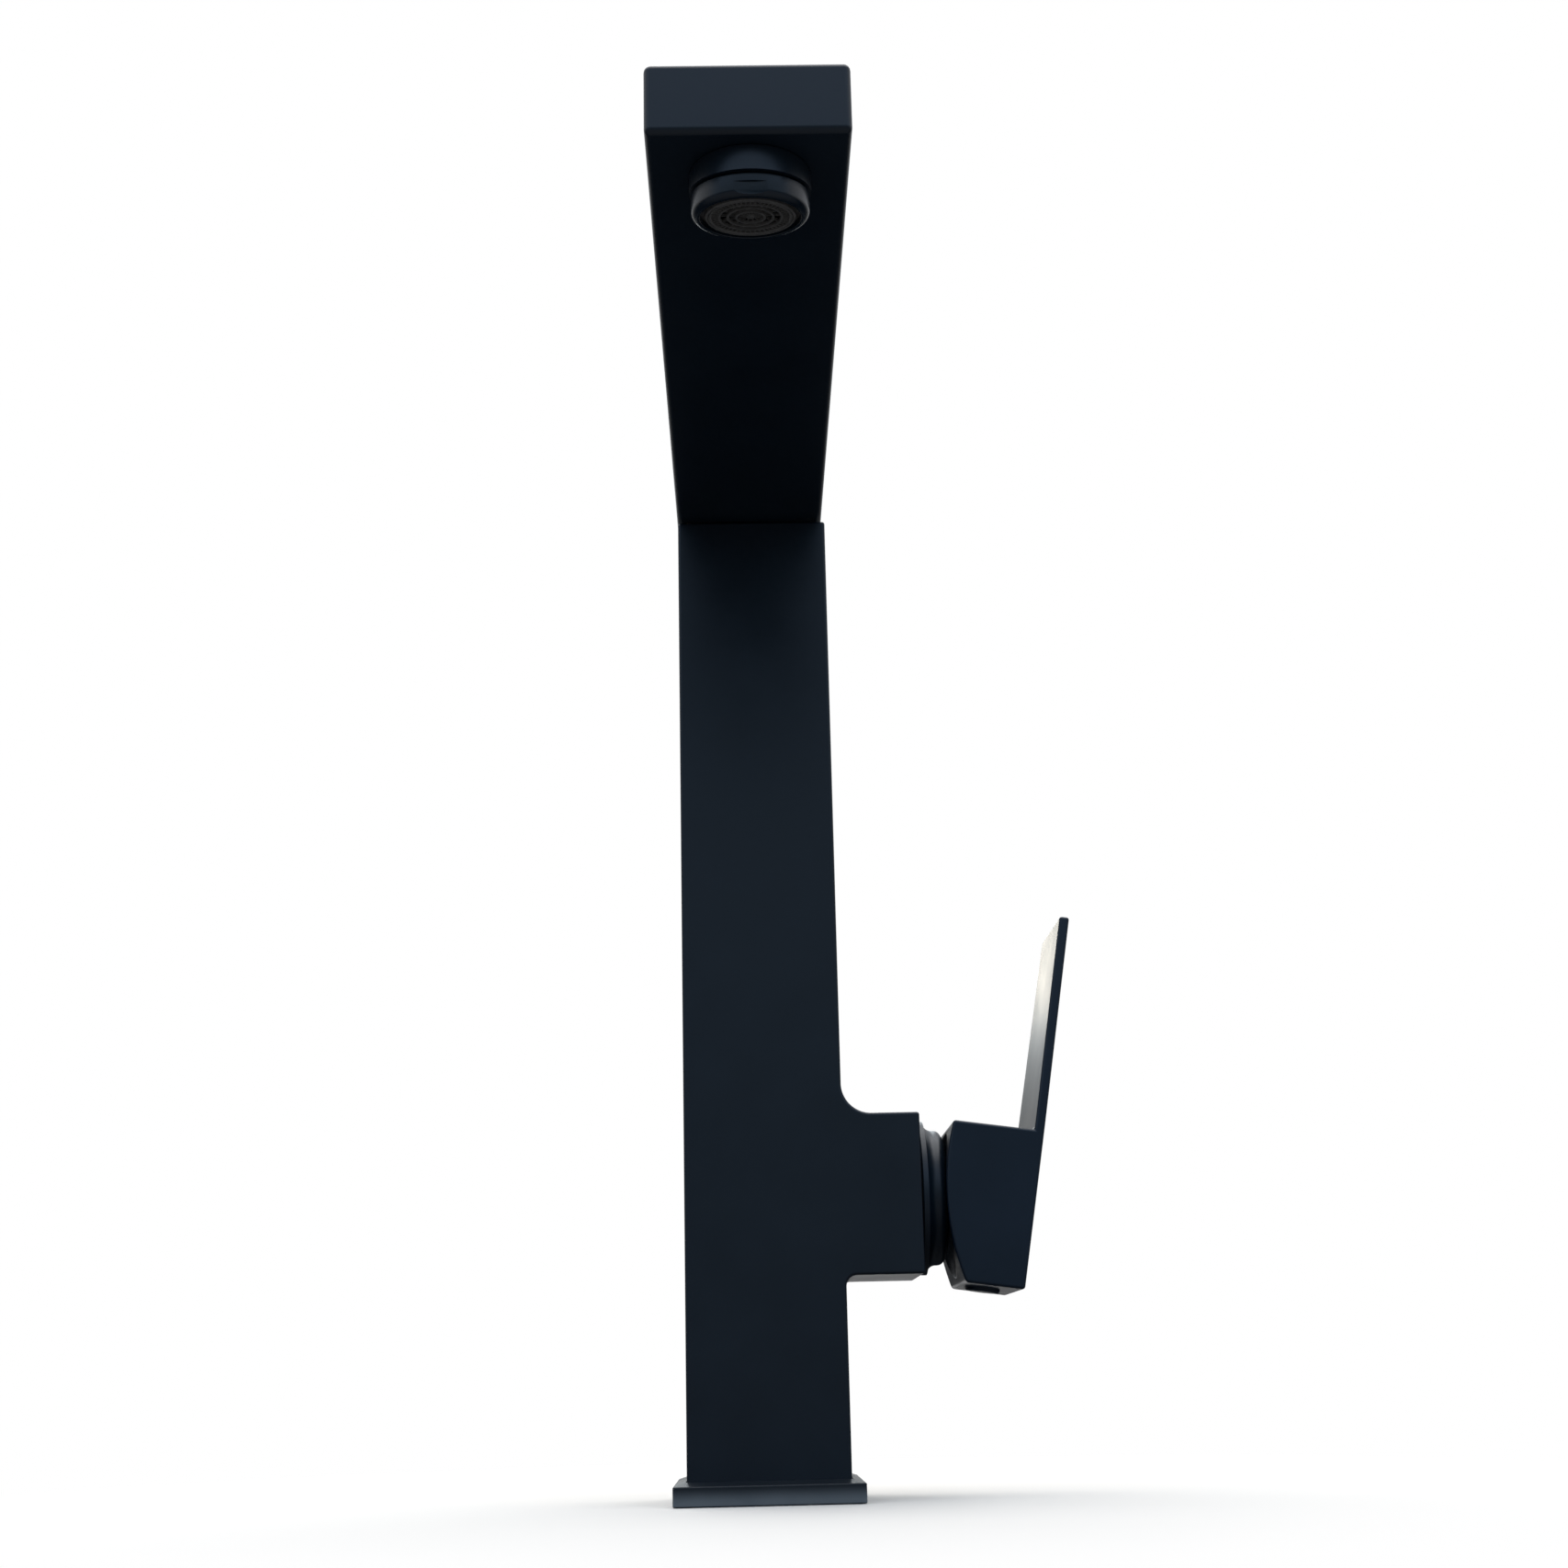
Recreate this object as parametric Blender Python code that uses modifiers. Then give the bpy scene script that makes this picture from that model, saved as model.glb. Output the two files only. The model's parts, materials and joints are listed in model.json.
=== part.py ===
"""Tall single-lever mixer tap: square column, side valve with a flag lever, and a swivelling bar spout.

Metres, +Z up. The origin is on the column's axis, at the level of the worktop. The spout points to -Y and
the lever stands on the +X side. It is drawn closed, in the middle of its temperature range.
"""

import math

import bmesh
import bpy
from mathutils import Matrix, Vector

# ---------------------------------------------------------------- driving dimensions
GAP = 0.0003  # left between pieces that rest on each other

BODY_HALF = 0.0225  # half the width of the square column and of the valve housing
BODY_WALL = 0.0025
BODY_EDGE = 0.0008  # rounding of the casting's edges
COLUMN_FOOT = 0.0004
COLUMN_TOP = 0.2862

PLATE_HALF = 0.02625
PLATE_HEIGHT = 0.0065
PLATE_SLOPE = 0.0012  # how far the plate's top falls from the column to its rim
GASKET_HALF = 0.0250
GASKET_HEIGHT = 0.0015

VALVE_Z = 0.0827  # level of the valve's axis, which runs along X
HOUSING_END = 0.0446
FILLET_ABOVE = 0.0085
FILLET_BELOW = 0.0030

INLET_X = -0.0060  # the two hose inlets, at -Y and +Y
INLET_Y = 0.0095
INLET_TUBE = 0.0050
OUTLET_TUBE = 0.0060
TUBE_WALL = 0.0010
STUD_X = 0.0110
BLOCK_TOP = 0.0260
TUBE_SEAT = 0.0140  # level that the inlet tubes stand on, inside the foot block
SOCKET_DEPTH = 0.0100  # how far the tubes go into the manifold and the spout's socket
MANIFOLD_LOW = 0.0600
MANIFOLD_HIGH = 0.1070
SOCKET_LOW = 0.2400
SOCKET_HIGH = 0.2846

SPOUT_HALF = 0.02215
SPOUT_SHIFT = -0.0006  # the bar stands this far off the column's middle
SPOUT_FRONT = -0.2339
SPOUT_BACK = 0.0222
SPOUT_UNDER = 0.2868
SPOUT_HEIGHT = 0.0168
SPOUT_WALL = 0.0020
SPOUT_EDGE = 0.0014
STEM_RADIUS = 0.0120
SCREW_Z = 0.2770  # level of the screw that keeps the spout's stem down
AERATOR_X = -0.0003
AERATOR_Y = -0.2162
OUTLET_TILT = math.radians(8.0)  # the aerator's axis leans back towards the column at its lower end
FLANGE_RADIUS = 0.0134
FLANGE_END = -0.0042  # heights in the aerator are along its axis, from the spout's underside
NECK_END = -0.0055
COLLAR_RADIUS = 0.0130
COLLAR_WALL = 0.0012
COLLAR_MOUTH = 0.0111  # radius of the opening in the collar's lip
COLLAR_LIP = 0.0015  # rounding of the lip
COLLAR_BOTTOM = -0.0096
COLLAR_SHELF = -0.0082
FLAT_DEPTH = 0.0005  # wrench flats, at the collar's front and back
FLAT_HEIGHT = 0.0033
INSERT_RADIUS = 0.0115
INSERT_RIM = (0.0086, 0.00995)

# Positions along the valve's axis, from the seat outwards
SEAT_X = 0.0124
BASE_X = (0.0127, 0.0169)
SHELL_X = (0.0172, 0.0360)
FIXED_DISC_X = (0.0172, 0.0196)
MOVING_DISC_X = (0.0199, 0.0219)
CARRIER_X = (0.0222, 0.0292)
ROTOR_X = (0.0224, 0.0456)
NUT_X = (0.0363, 0.0438)
PIVOT_X = 0.0380
PORT_CIRCLE = 0.0088
PORT_RADIUS = 0.0030
PIN_RADIUS = 0.0015

HANDLE_TILT = math.radians(8.0)  # the handle leans out at its top
STEM_TILT = math.radians(-10.0)  # the stem points up when the valve is closed
BALL_ARM = 0.0110
DISC_DROP = -BALL_ARM * math.sin(-STEM_TILT)  # the closed disc stands below the valve's axis
HUB_HALF = 0.0225
TIP_HALF = 0.0195
HUB_TOP = 0.0221
HUB_LOW = -0.0224
HUB_BACK = 0.0759  # radius of the hub's curved inner face
HUB_BACK_MIDDLE = (0.0886, 0.0125)
TIP_TOP = 0.0853
RECESS_RADIUS = 0.0205
RECESS_DEPTH = 0.0205  # from the pivot
HANDLE_SCREW_X = 0.0280

VALVE_BORE = 0.0176
NUT_BORE = 0.0193
CARTRIDGE_RADIUS = 0.0173
SHELL_BORE = 0.0151
DISC_RADIUS = 0.0148
ROTOR_NECK = 0.0139
SHOULDER_POWER = 0.667  # 1 would make the neck's shoulder a plain ellipse, and less makes it fuller
DISC_PORT = PORT_RADIUS - 0.0002

ROUND = 40  # steps in a visible round piece
PLAIN = 28  # steps in a hidden one
COARSE = 12  # steps in a drilled hole of the foot block


# ---------------------------------------------------------------- scene and materials
def clear_scene():
    for obj in list(bpy.data.objects):
        bpy.data.objects.remove(obj, do_unlink=True)


def make_collection(name):
    collection = bpy.data.collections.new(name)
    bpy.context.scene.collection.children.link(collection)
    return collection


def make_material(name, colour, roughness, metallic):
    material = bpy.data.materials.new(name)
    material.use_nodes = True
    shader = material.node_tree.nodes["Principled BSDF"]
    shader.inputs["Base Color"].default_value = (*colour, 1.0)
    shader.inputs["Roughness"].default_value = roughness
    shader.inputs["Metallic"].default_value = metallic
    return material


clear_scene()
PARTS = make_collection("mixer_tap")
CUTTERS = make_collection("cutters")

SATIN_BLACK = ("satin_black", (0.012, 0.014, 0.017), 0.32, 0.0)
BRASS = ("brass", (0.62, 0.46, 0.20), 0.30, 1.0)
COPPER = ("copper", (0.72, 0.38, 0.24), 0.30, 1.0)
STEEL = ("steel", (0.60, 0.60, 0.62), 0.28, 1.0)
CERAMIC = ("ceramic", (0.85, 0.84, 0.80), 0.15, 0.0)
RUBBER = ("rubber", (0.02, 0.02, 0.02), 0.80, 0.0)
WHITE_PLASTIC = ("white_plastic", (0.80, 0.80, 0.77), 0.45, 0.0)
GREY_PLASTIC = ("grey_plastic", (0.30, 0.29, 0.27), 0.50, 0.0)


# ---------------------------------------------------------------- shape helpers
def add_object(name, mesh, finish=None):
    """A part in its own material or, with no finish, a shape that only cuts or joins another."""
    obj = bpy.data.objects.new(name, mesh)
    if finish:
        slot, colour, roughness, metallic = finish
        mesh.materials.append(make_material(f"{name}_{slot}", colour, roughness, metallic))
        PARTS.objects.link(obj)
    else:
        obj.hide_render = True
        obj.display_type = "WIRE"
        CUTTERS.objects.link(obj)
    return obj


def finish_bmesh(bm, name, finish):
    mesh = bpy.data.meshes.new(name)
    bm.to_mesh(mesh)
    bm.free()
    return add_object(name, mesh, finish)


def shade_round(obj):
    obj.data.shade_smooth()
    obj.data.set_sharp_from_angle(angle=math.radians(40))
    return obj


def box(name, low, high, finish=None):
    """A box between two corners."""
    low, high = Vector(low), Vector(high)
    bm = bmesh.new()
    bmesh.ops.create_cube(bm, size=1.0)
    bmesh.ops.transform(bm, matrix=Matrix.Diagonal((*(high - low), 1.0)), verts=bm.verts)
    obj = finish_bmesh(bm, name, finish)
    obj.location = (low + high) / 2
    return obj


def rod(name, radius, start, end, finish=None, sides=PLAIN):
    """A round bar from one point to another."""
    start, end = Vector(start), Vector(end)
    bm = bmesh.new()
    bmesh.ops.create_cone(
        bm,
        cap_ends=True,
        segments=sides,
        radius1=radius,
        radius2=radius,
        depth=(end - start).length,
    )
    obj = shade_round(finish_bmesh(bm, name, finish))
    obj.location = (start + end) / 2
    obj.rotation_mode = "QUATERNION"
    obj.rotation_quaternion = (end - start).to_track_quat("Z", "Y")
    return obj


def ball(name, radius, centre):
    bm = bmesh.new()
    bmesh.ops.create_uvsphere(bm, u_segments=20, v_segments=12, radius=radius)
    obj = shade_round(finish_bmesh(bm, name, None))
    obj.location = centre
    return obj


def turned(name, profile, finish, at=(0.0, 0.0, 0.0), along="Z", steps=PLAIN):
    """A ring turned from a closed profile of (radius, height) points, running down its outer side.

    Heights are measured from the point at, along +Z or along +X.
    """
    mesh = bpy.data.meshes.new(name)
    count = len(profile)
    edges = [(i, (i + 1) % count) for i in range(count)]
    mesh.from_pydata([(radius, 0.0, height) for radius, height in profile], edges, [])
    obj = add_object(name, mesh, finish)
    screw = obj.modifiers.new("turn", "SCREW")
    screw.angle = math.tau
    screw.steps = steps
    screw.render_steps = steps
    screw.use_merge_vertices = True
    screw.merge_threshold = 0.00001
    obj.location = at
    if along == "X":
        obj.rotation_euler = (0.0, math.pi / 2, 0.0)
    return obj


def ring(inner, outer, low, high):
    """A plain section for a turned ring."""
    return [(outer, high), (outer, low), (inner, low), (inner, high)]


def o_ring(middle, thickness, height, sides=10):
    """A round section for a turned ring."""
    half = thickness / 2
    angles = [-math.tau * i / sides for i in range(sides)]
    return [(middle + half * math.cos(a), height + half * math.sin(a)) for a in angles]


def square_ring(name, profile, finish):
    """A square frame, from a closed section of (half width, height) points carried round four corners."""
    corner = math.sqrt(2.0)
    obj = turned(name, [(half * corner, height) for half, height in profile], finish, steps=4)
    obj.rotation_euler = (0.0, 0.0, math.pi / 4)
    return obj


def prism(name, outline, half_depth, finish=None):
    """A flat outline of (x, z) points, standing upright and extruded along Y to both sides."""
    curve = bpy.data.curves.new(name, "CURVE")
    curve.dimensions = "2D"
    curve.fill_mode = "BOTH"
    curve.extrude = half_depth
    spline = curve.splines.new("POLY")
    spline.points.add(len(outline) - 1)
    for point, (x, z) in zip(spline.points, outline):
        point.co = (x, z, 0.0, 1.0)
    spline.use_cyclic_u = True
    drawn = bpy.data.objects.new(name + "_outline", curve)
    CUTTERS.objects.link(drawn)
    graph = bpy.context.evaluated_depsgraph_get()
    mesh = bpy.data.meshes.new_from_object(drawn.evaluated_get(graph))
    bpy.data.objects.remove(drawn, do_unlink=True)
    bm = bmesh.new()
    bm.from_mesh(mesh)
    bpy.data.meshes.remove(mesh)
    bmesh.ops.remove_doubles(bm, verts=bm.verts, dist=0.000001)
    bmesh.ops.dissolve_limit(bm, angle_limit=0.01, verts=bm.verts, edges=bm.edges)
    bmesh.ops.recalc_face_normals(bm, faces=bm.faces)
    obj = finish_bmesh(bm, name, finish)
    obj.rotation_euler = (math.pi / 2, 0.0, 0.0)
    return obj


def corner_arc(centre, radius, first, last, steps=6):
    """Points on an arc, from one angle to another in degrees."""
    angles = [math.radians(first + (last - first) * i / steps) for i in range(steps + 1)]
    return [(centre[0] + radius * math.cos(a), centre[1] + radius * math.sin(a)) for a in angles]


def square_shoulder(middle, wide, tall, steps=6):
    """Points from the top, out and down to the widest point, on an ellipse with a full shoulder."""
    points = []
    for i in range(steps + 1):
        angle = math.pi / 2 * (1.0 - i / steps)
        out = wide * math.cos(angle) ** SHOULDER_POWER
        up = tall * math.sin(angle) ** SHOULDER_POWER
        points.append((middle[0] + out, middle[1] + up))
    return points


def round_edges(obj, radius, segments=2, limit=40.0):
    bevel = obj.modifiers.new("rounded", "BEVEL")
    bevel.width = radius
    bevel.segments = segments
    bevel.limit_method = "ANGLE"
    bevel.angle_limit = math.radians(limit)
    bevel.use_clamp_overlap = False
    return obj


def combine(obj, operation, others):
    for other in others:
        modifier = obj.modifiers.new(operation.lower(), "BOOLEAN")
        modifier.operation = operation
        modifier.solver = "EXACT"
        modifier.object = other
    return obj


def cut(obj, *cutters):
    return combine(obj, "DIFFERENCE", cutters)


def join(obj, *others):
    return combine(obj, "UNION", others)


def joint_empty(name, location, turn=(0.0, 0.0, 0.0)):
    empty = bpy.data.objects.new(name, None)
    PARTS.objects.link(empty)
    empty.location = location
    empty.rotation_euler = turn
    return empty


def hang(parent, *objects, in_place=True):
    """Parents pieces and the shapes that cut or join them to a joint's empty.

    They keep their places, unless they are drawn in the empty's own frame.
    """
    for obj in objects:
        obj.parent = parent
        if in_place:
            obj.matrix_parent_inverse = Matrix.Translation(-parent.location)
        for modifier in obj.modifiers:
            if modifier.type == "BOOLEAN":
                hang(parent, modifier.object, in_place=in_place)


def port_places():
    """The valve's two inlets and its outlet, as (name, y, z)."""
    angles = (("cold", 210.0), ("hot", 330.0), ("mixed", 90.0))
    places = []
    for name, degrees in angles:
        angle = math.radians(degrees)
        places.append((name, PORT_CIRCLE * math.cos(angle), VALVE_Z + PORT_CIRCLE * math.sin(angle)))
    return places


# ---------------------------------------------------------------- the fixed body
def column_body():
    """Square hollow column and valve housing, in one casting."""
    under = (BODY_HALF + FILLET_BELOW, VALVE_Z - BODY_HALF - FILLET_BELOW)
    over = (BODY_HALF + FILLET_ABOVE, VALVE_Z + BODY_HALF + FILLET_ABOVE)
    outline = [
        (-BODY_HALF, COLUMN_FOOT),
        (BODY_HALF, COLUMN_FOOT),
        *corner_arc(under, FILLET_BELOW, 180.0, 90.0),
        (HOUSING_END, VALVE_Z - BODY_HALF),
        (HOUSING_END, VALVE_Z + BODY_HALF),
        *corner_arc(over, FILLET_ABOVE, 270.0, 180.0, steps=8),
        (BODY_HALF, COLUMN_TOP),
        (-BODY_HALF, COLUMN_TOP),
    ]
    body = prism("column_body", outline, BODY_HALF, SATIN_BLACK)
    round_edges(body, BODY_EDGE)
    inside = BODY_HALF - BODY_WALL
    bore = box("column_bore", (-inside, -inside, -0.01), (inside, inside, COLUMN_TOP + 0.01))
    outside = HOUSING_END + 0.01
    nut_step = NUT_X[0] - 0.0001
    valve_bore = rod("valve_bore", VALVE_BORE, (0.0, 0.0, VALVE_Z), (outside, 0.0, VALVE_Z), sides=ROUND)
    nut_bore = rod("nut_bore", NUT_BORE, (nut_step, 0.0, VALVE_Z), (outside, 0.0, VALVE_Z), sides=ROUND)
    screw_hole = rod("column_screw_hole", 0.0028, (0.0, 0.015, SCREW_Z), (0.0, 0.03, SCREW_Z), sides=16)
    return cut(body, bore, valve_bore, nut_bore, screw_hole)


def base_plate():
    """Square cover plate, with its top falling a little towards the rim and a groove for the gasket."""
    hole = BODY_HALF + GAP
    seat = GASKET_HALF + GAP
    groove = GASKET_HEIGHT + GAP
    profile = [
        (hole, PLATE_HEIGHT),
        (PLATE_HALF, PLATE_HEIGHT - PLATE_SLOPE),
        (PLATE_HALF, 0.0),
        (seat, 0.0),
        (seat, groove),
        (hole, groove),
    ]
    return round_edges(square_ring("base_plate", profile, SATIN_BLACK), 0.0004, segments=1, limit=60.0)


def base_gasket():
    return square_ring("base_gasket", ring(BODY_HALF + GAP, GASKET_HALF, 0.0, GASKET_HEIGHT), RUBBER)


def filling_block(name, low, high, right=None):
    """A brass block that fills the column's bore between two levels."""
    half = BODY_HALF - BODY_WALL - GAP
    return box(name, (-half, -half, low), (right or half, half, high), BRASS)


def drilled(name, radius, x, y, low, high):
    """A plain drilling up into the foot block."""
    return rod(name, radius, (x, y, low), (x, y, high), sides=COARSE)


def foot_block():
    """Holds the two hoses, the inlet tubes and the stud that clamps the tap to the worktop."""
    block = filling_block("foot_block", 0.0, BLOCK_TOP)
    for side, y in (("cold", -INLET_Y), ("hot", INLET_Y)):
        port = drilled(f"{side}_hose_port", 0.0046, INLET_X, y, -0.005, 0.010)
        passage = drilled(f"{side}_foot_passage", 0.0032, INLET_X, y, 0.008, TUBE_SEAT + 0.002)
        socket = drilled(f"{side}_foot_socket", INLET_TUBE + GAP, INLET_X, y, TUBE_SEAT, 0.03)
        cut(block, port, passage, socket)
    return cut(block, drilled("stud_hole", 0.0034, STUD_X, 0.0, -0.005, 0.016))


def tube(name, radius, x, y, low, high):
    return turned(name, ring(radius - TUBE_WALL, radius, low, high), COPPER, at=(x, y, 0.0))


def tubes():
    low, high = TUBE_SEAT + GAP, MANIFOLD_LOW + SOCKET_DEPTH - GAP
    outlet_low, outlet_high = MANIFOLD_HIGH - SOCKET_DEPTH + GAP, SOCKET_LOW + SOCKET_DEPTH - GAP
    return [
        tube("cold_inlet_tube", INLET_TUBE, INLET_X, -INLET_Y, low, high),
        tube("hot_inlet_tube", INLET_TUBE, INLET_X, INLET_Y, low, high),
        tube("mixed_outlet_tube", OUTLET_TUBE, 0.0, 0.0, outlet_low, outlet_high),
    ]


def cartridge_manifold():
    """Drilled block that joins the tubes to the valve's seat."""
    block = filling_block("cartridge_manifold", MANIFOLD_LOW, MANIFOLD_HIGH, right=SEAT_X)
    for name, y, z in port_places():
        drill_start = INLET_X if name != "mixed" else 0.0
        drilling = rod(f"{name}_drilling", PORT_RADIUS, (drill_start, y, z), (SEAT_X + 0.01, y, z))
        if name == "mixed":
            riser = rod("mixed_riser", 0.0042, (0.0, 0.0, z), (0.0, 0.0, MANIFOLD_HIGH + 0.005))
            low, high = (0.0, 0.0, MANIFOLD_HIGH - SOCKET_DEPTH), (0.0, 0.0, MANIFOLD_HIGH + 0.01)
            socket = rod("mixed_socket", OUTLET_TUBE + GAP, low, high)
        else:
            inlet_y = math.copysign(INLET_Y, y)
            riser = rod(f"{name}_riser", 0.0034, (INLET_X, inlet_y, 0.05), (INLET_X, inlet_y, z + 0.001))
            low, high = (INLET_X, inlet_y, 0.05), (INLET_X, inlet_y, MANIFOLD_LOW + SOCKET_DEPTH)
            socket = rod(f"{name}_socket", INLET_TUBE + GAP, low, high)
        cut(block, drilling, riser, socket)
    return block


def spout_socket():
    """Brass bush in the column's top that the spout's stem turns in."""
    block = filling_block("spout_socket", SOCKET_LOW, SOCKET_HIGH)
    seat = SOCKET_LOW + SOCKET_DEPTH
    tube_end = rod("outlet_socket", OUTLET_TUBE + GAP, (0.0, 0.0, 0.23), (0.0, 0.0, seat))
    passage = rod("outlet_passage", 0.0050, (0.0, 0.0, SOCKET_LOW + 0.005), (0.0, 0.0, 0.26))
    bore = rod("stem_bore", STEM_RADIUS + 0.0001, (0.0, 0.0, 0.2530), (0.0, 0.0, 0.29), sides=ROUND)
    screw_hole = rod("socket_screw_hole", 0.0026, (0.0, 0.008, SCREW_Z), (0.0, 0.03, SCREW_Z), sides=16)
    return cut(block, tube_end, passage, bore, screw_hole)


def swivel_washer():
    return turned("swivel_washer", ring(0.0125, 0.0185, SOCKET_HIGH + GAP, SPOUT_UNDER - GAP), WHITE_PLASTIC)


def spout_set_screw():
    """Runs in the stem's groove from behind, so that the spout turns but can't lift."""
    screw = rod("spout_set_screw", 0.0023, (0.0, 0.0114, SCREW_Z), (0.0, 0.0220, SCREW_Z), STEEL, sides=16)
    key = rod("set_screw_key", 0.0012, (0.0, 0.0195, SCREW_Z), (0.0, 0.03, SCREW_Z), sides=6)
    return cut(screw, key)


# ---------------------------------------------------------------- the cartridge's fixed pieces
def cartridge_base():
    start, end = BASE_X
    low, high = (start, 0.0, VALVE_Z), (end, 0.0, VALVE_Z)
    base = rod("cartridge_base", CARTRIDGE_RADIUS, low, high, GREY_PLASTIC, sides=ROUND)
    for name, y, z in port_places():
        hole = rod(f"{name}_base_port", DISC_PORT, (0.005, y, z), (0.025, y, z))
        seat = rod(f"{name}_seal_seat", 0.0047, (0.005, y, z), (start + 0.0012, y, z))
        cut(base, hole, seat)
    return base


def port_seals():
    """A rubber ring in each port's counterbore."""
    seals = []
    for name, y, z in port_places():
        section = ring(0.0032, 0.0044, BASE_X[0] - 0.0001, BASE_X[0] + 0.0009)
        seals.append(turned(f"port_seal_{name}", section, RUBBER, at=(0.0, y, z), along="X"))
    return seals


def cartridge_shell():
    low, high = SHELL_X
    stop = 0.0336
    mouth = ROTOR_NECK + GAP
    profile = [
        (CARTRIDGE_RADIUS, high),
        (CARTRIDGE_RADIUS, low),
        (SHELL_BORE, low),
        (SHELL_BORE, stop),
        (mouth, stop),
        (mouth, high),
    ]
    return turned("cartridge_shell", profile, WHITE_PLASTIC, at=(0.0, 0.0, VALVE_Z), along="X", steps=ROUND)


def fixed_disc():
    start, end = FIXED_DISC_X
    disc = rod("fixed_disc", DISC_RADIUS, (start, 0.0, VALVE_Z), (end, 0.0, VALVE_Z), CERAMIC, sides=ROUND)
    for name, y, z in port_places():
        cut(disc, rod(f"{name}_disc_port", DISC_PORT, (0.005, y, z), (0.03, y, z)))
    return disc


def bonnet_nut():
    """Threaded ring that clamps the cartridge in the housing. Its collar carries the dome cap."""
    collar, collar_end = 0.0156, 0.0482
    thread = NUT_BORE - GAP
    mouth = ROTOR_NECK + GAP
    profile = [
        (collar, collar_end),
        (collar, NUT_X[1]),
        (thread, NUT_X[1]),
        (thread, NUT_X[0]),
        (mouth, NUT_X[0]),
        (mouth, collar_end),
    ]
    return turned("bonnet_nut", profile, BRASS, at=(0.0, 0.0, VALVE_Z), along="X", steps=ROUND)


def dome_cap():
    """Round neck between the housing and the lever, with a flared foot and a hole for the stem."""
    seat = HOUSING_END + GAP
    eye, shoulder, waist, wall, flare = 0.0086, 0.0493, 0.0193, 0.0034, 0.0027
    profile = [
        *square_shoulder((eye, shoulder), waist - eye, 0.0037),
        *corner_arc((waist + flare, shoulder), flare, 180.0, 270.0, steps=5),
        (waist + flare, seat),
        (waist - wall, seat),
        *reversed(square_shoulder((eye, shoulder), waist - wall - eye, 0.0022, steps=4)),
    ]
    return turned("dome_cap", profile, SATIN_BLACK, at=(0.0, 0.0, VALVE_Z), along="X", steps=ROUND)


# ---------------------------------------------------------------- the spout
def spout_bar():
    """Flat hollow bar over the column."""
    left, right = SPOUT_SHIFT - SPOUT_HALF, SPOUT_SHIFT + SPOUT_HALF
    top = SPOUT_UNDER + SPOUT_HEIGHT
    bar = box("spout_bar", (left, SPOUT_FRONT, SPOUT_UNDER), (right, SPOUT_BACK, top), SATIN_BLACK)
    round_edges(bar, SPOUT_EDGE, segments=3)
    wall = Vector((SPOUT_WALL, SPOUT_WALL, SPOUT_WALL))
    low = Vector((left, SPOUT_FRONT, SPOUT_UNDER)) + wall
    high = Vector((right, SPOUT_BACK, top)) - wall
    waterway = box("spout_waterway", low, high)
    under, over = SPOUT_UNDER - 0.005, SPOUT_UNDER + 0.005
    stem_hole = rod("spout_stem_hole", 0.0122, (0.0, 0.0, under), (0.0, 0.0, over), sides=ROUND)
    low, high = (AERATOR_X, AERATOR_Y, under), (AERATOR_X, AERATOR_Y, over)
    nipple_hole = rod("nipple_hole", 0.0104, low, high, sides=ROUND)
    return cut(bar, waterway, stem_hole, nipple_hole)


def spout_stem():
    """Hollow stem with a groove for the set screw and two for O-rings."""
    outer = STEM_RADIUS
    profile = [(outer, SPOUT_UNDER + 0.0026)]
    for high, low, depth in ((0.2796, 0.2744, 0.0011), (0.2704, 0.2688, 0.0015), (0.2644, 0.2628, 0.0015)):
        profile += [(outer, high), (outer - depth, high), (outer - depth, low), (outer, low)]
    profile += [(outer, 0.2535), (0.0090, 0.2535), (0.0090, SPOUT_UNDER + 0.0026)]
    return turned("spout_stem", profile, BRASS, steps=ROUND)


def stem_o_rings():
    upper = turned("stem_o_ring_upper", o_ring(0.01130, 0.0012, 0.2696), RUBBER, steps=ROUND)
    lower = turned("stem_o_ring_lower", o_ring(0.01130, 0.0012, 0.2636), RUBBER, steps=ROUND)
    return [upper, lower]


def aerator_nipple():
    """Flanged ring in the spout's underside. Its lower end is finished in build_aerator, on the tilted axis."""
    x, y, z = AERATOR_X, AERATOR_Y, SPOUT_UNDER
    nipple = rod("aerator_nipple", FLANGE_RADIUS, (x, y, z - 0.0090), (x, y, z - GAP), SATIN_BLACK, sides=ROUND)
    return join(nipple, rod("nipple_tube", 0.0101, (x, y, z - 0.0010), (x, y, z + 0.0030), sides=ROUND))


def aerator_turned(name, profile, finish=None):
    return turned(name, profile, finish, steps=ROUND)


def aerator_screen():
    """Perforated steel disc."""
    screen = rod("aerator_screen", INSERT_RADIUS - 0.0001, (0.0, 0.0, -0.0068), (0.0, 0.0, -0.0065), STEEL)
    for circle, count in ((0.0035, 6), (0.0075, 12)):
        for i in range(count):
            angle = math.tau * i / count
            x, y = circle * math.cos(angle), circle * math.sin(angle)
            cut(screen, rod(f"screen_hole_{count}_{i}", 0.0012, (x, y, -0.01), (x, y, 0.0), sides=8))
    return screen


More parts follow.
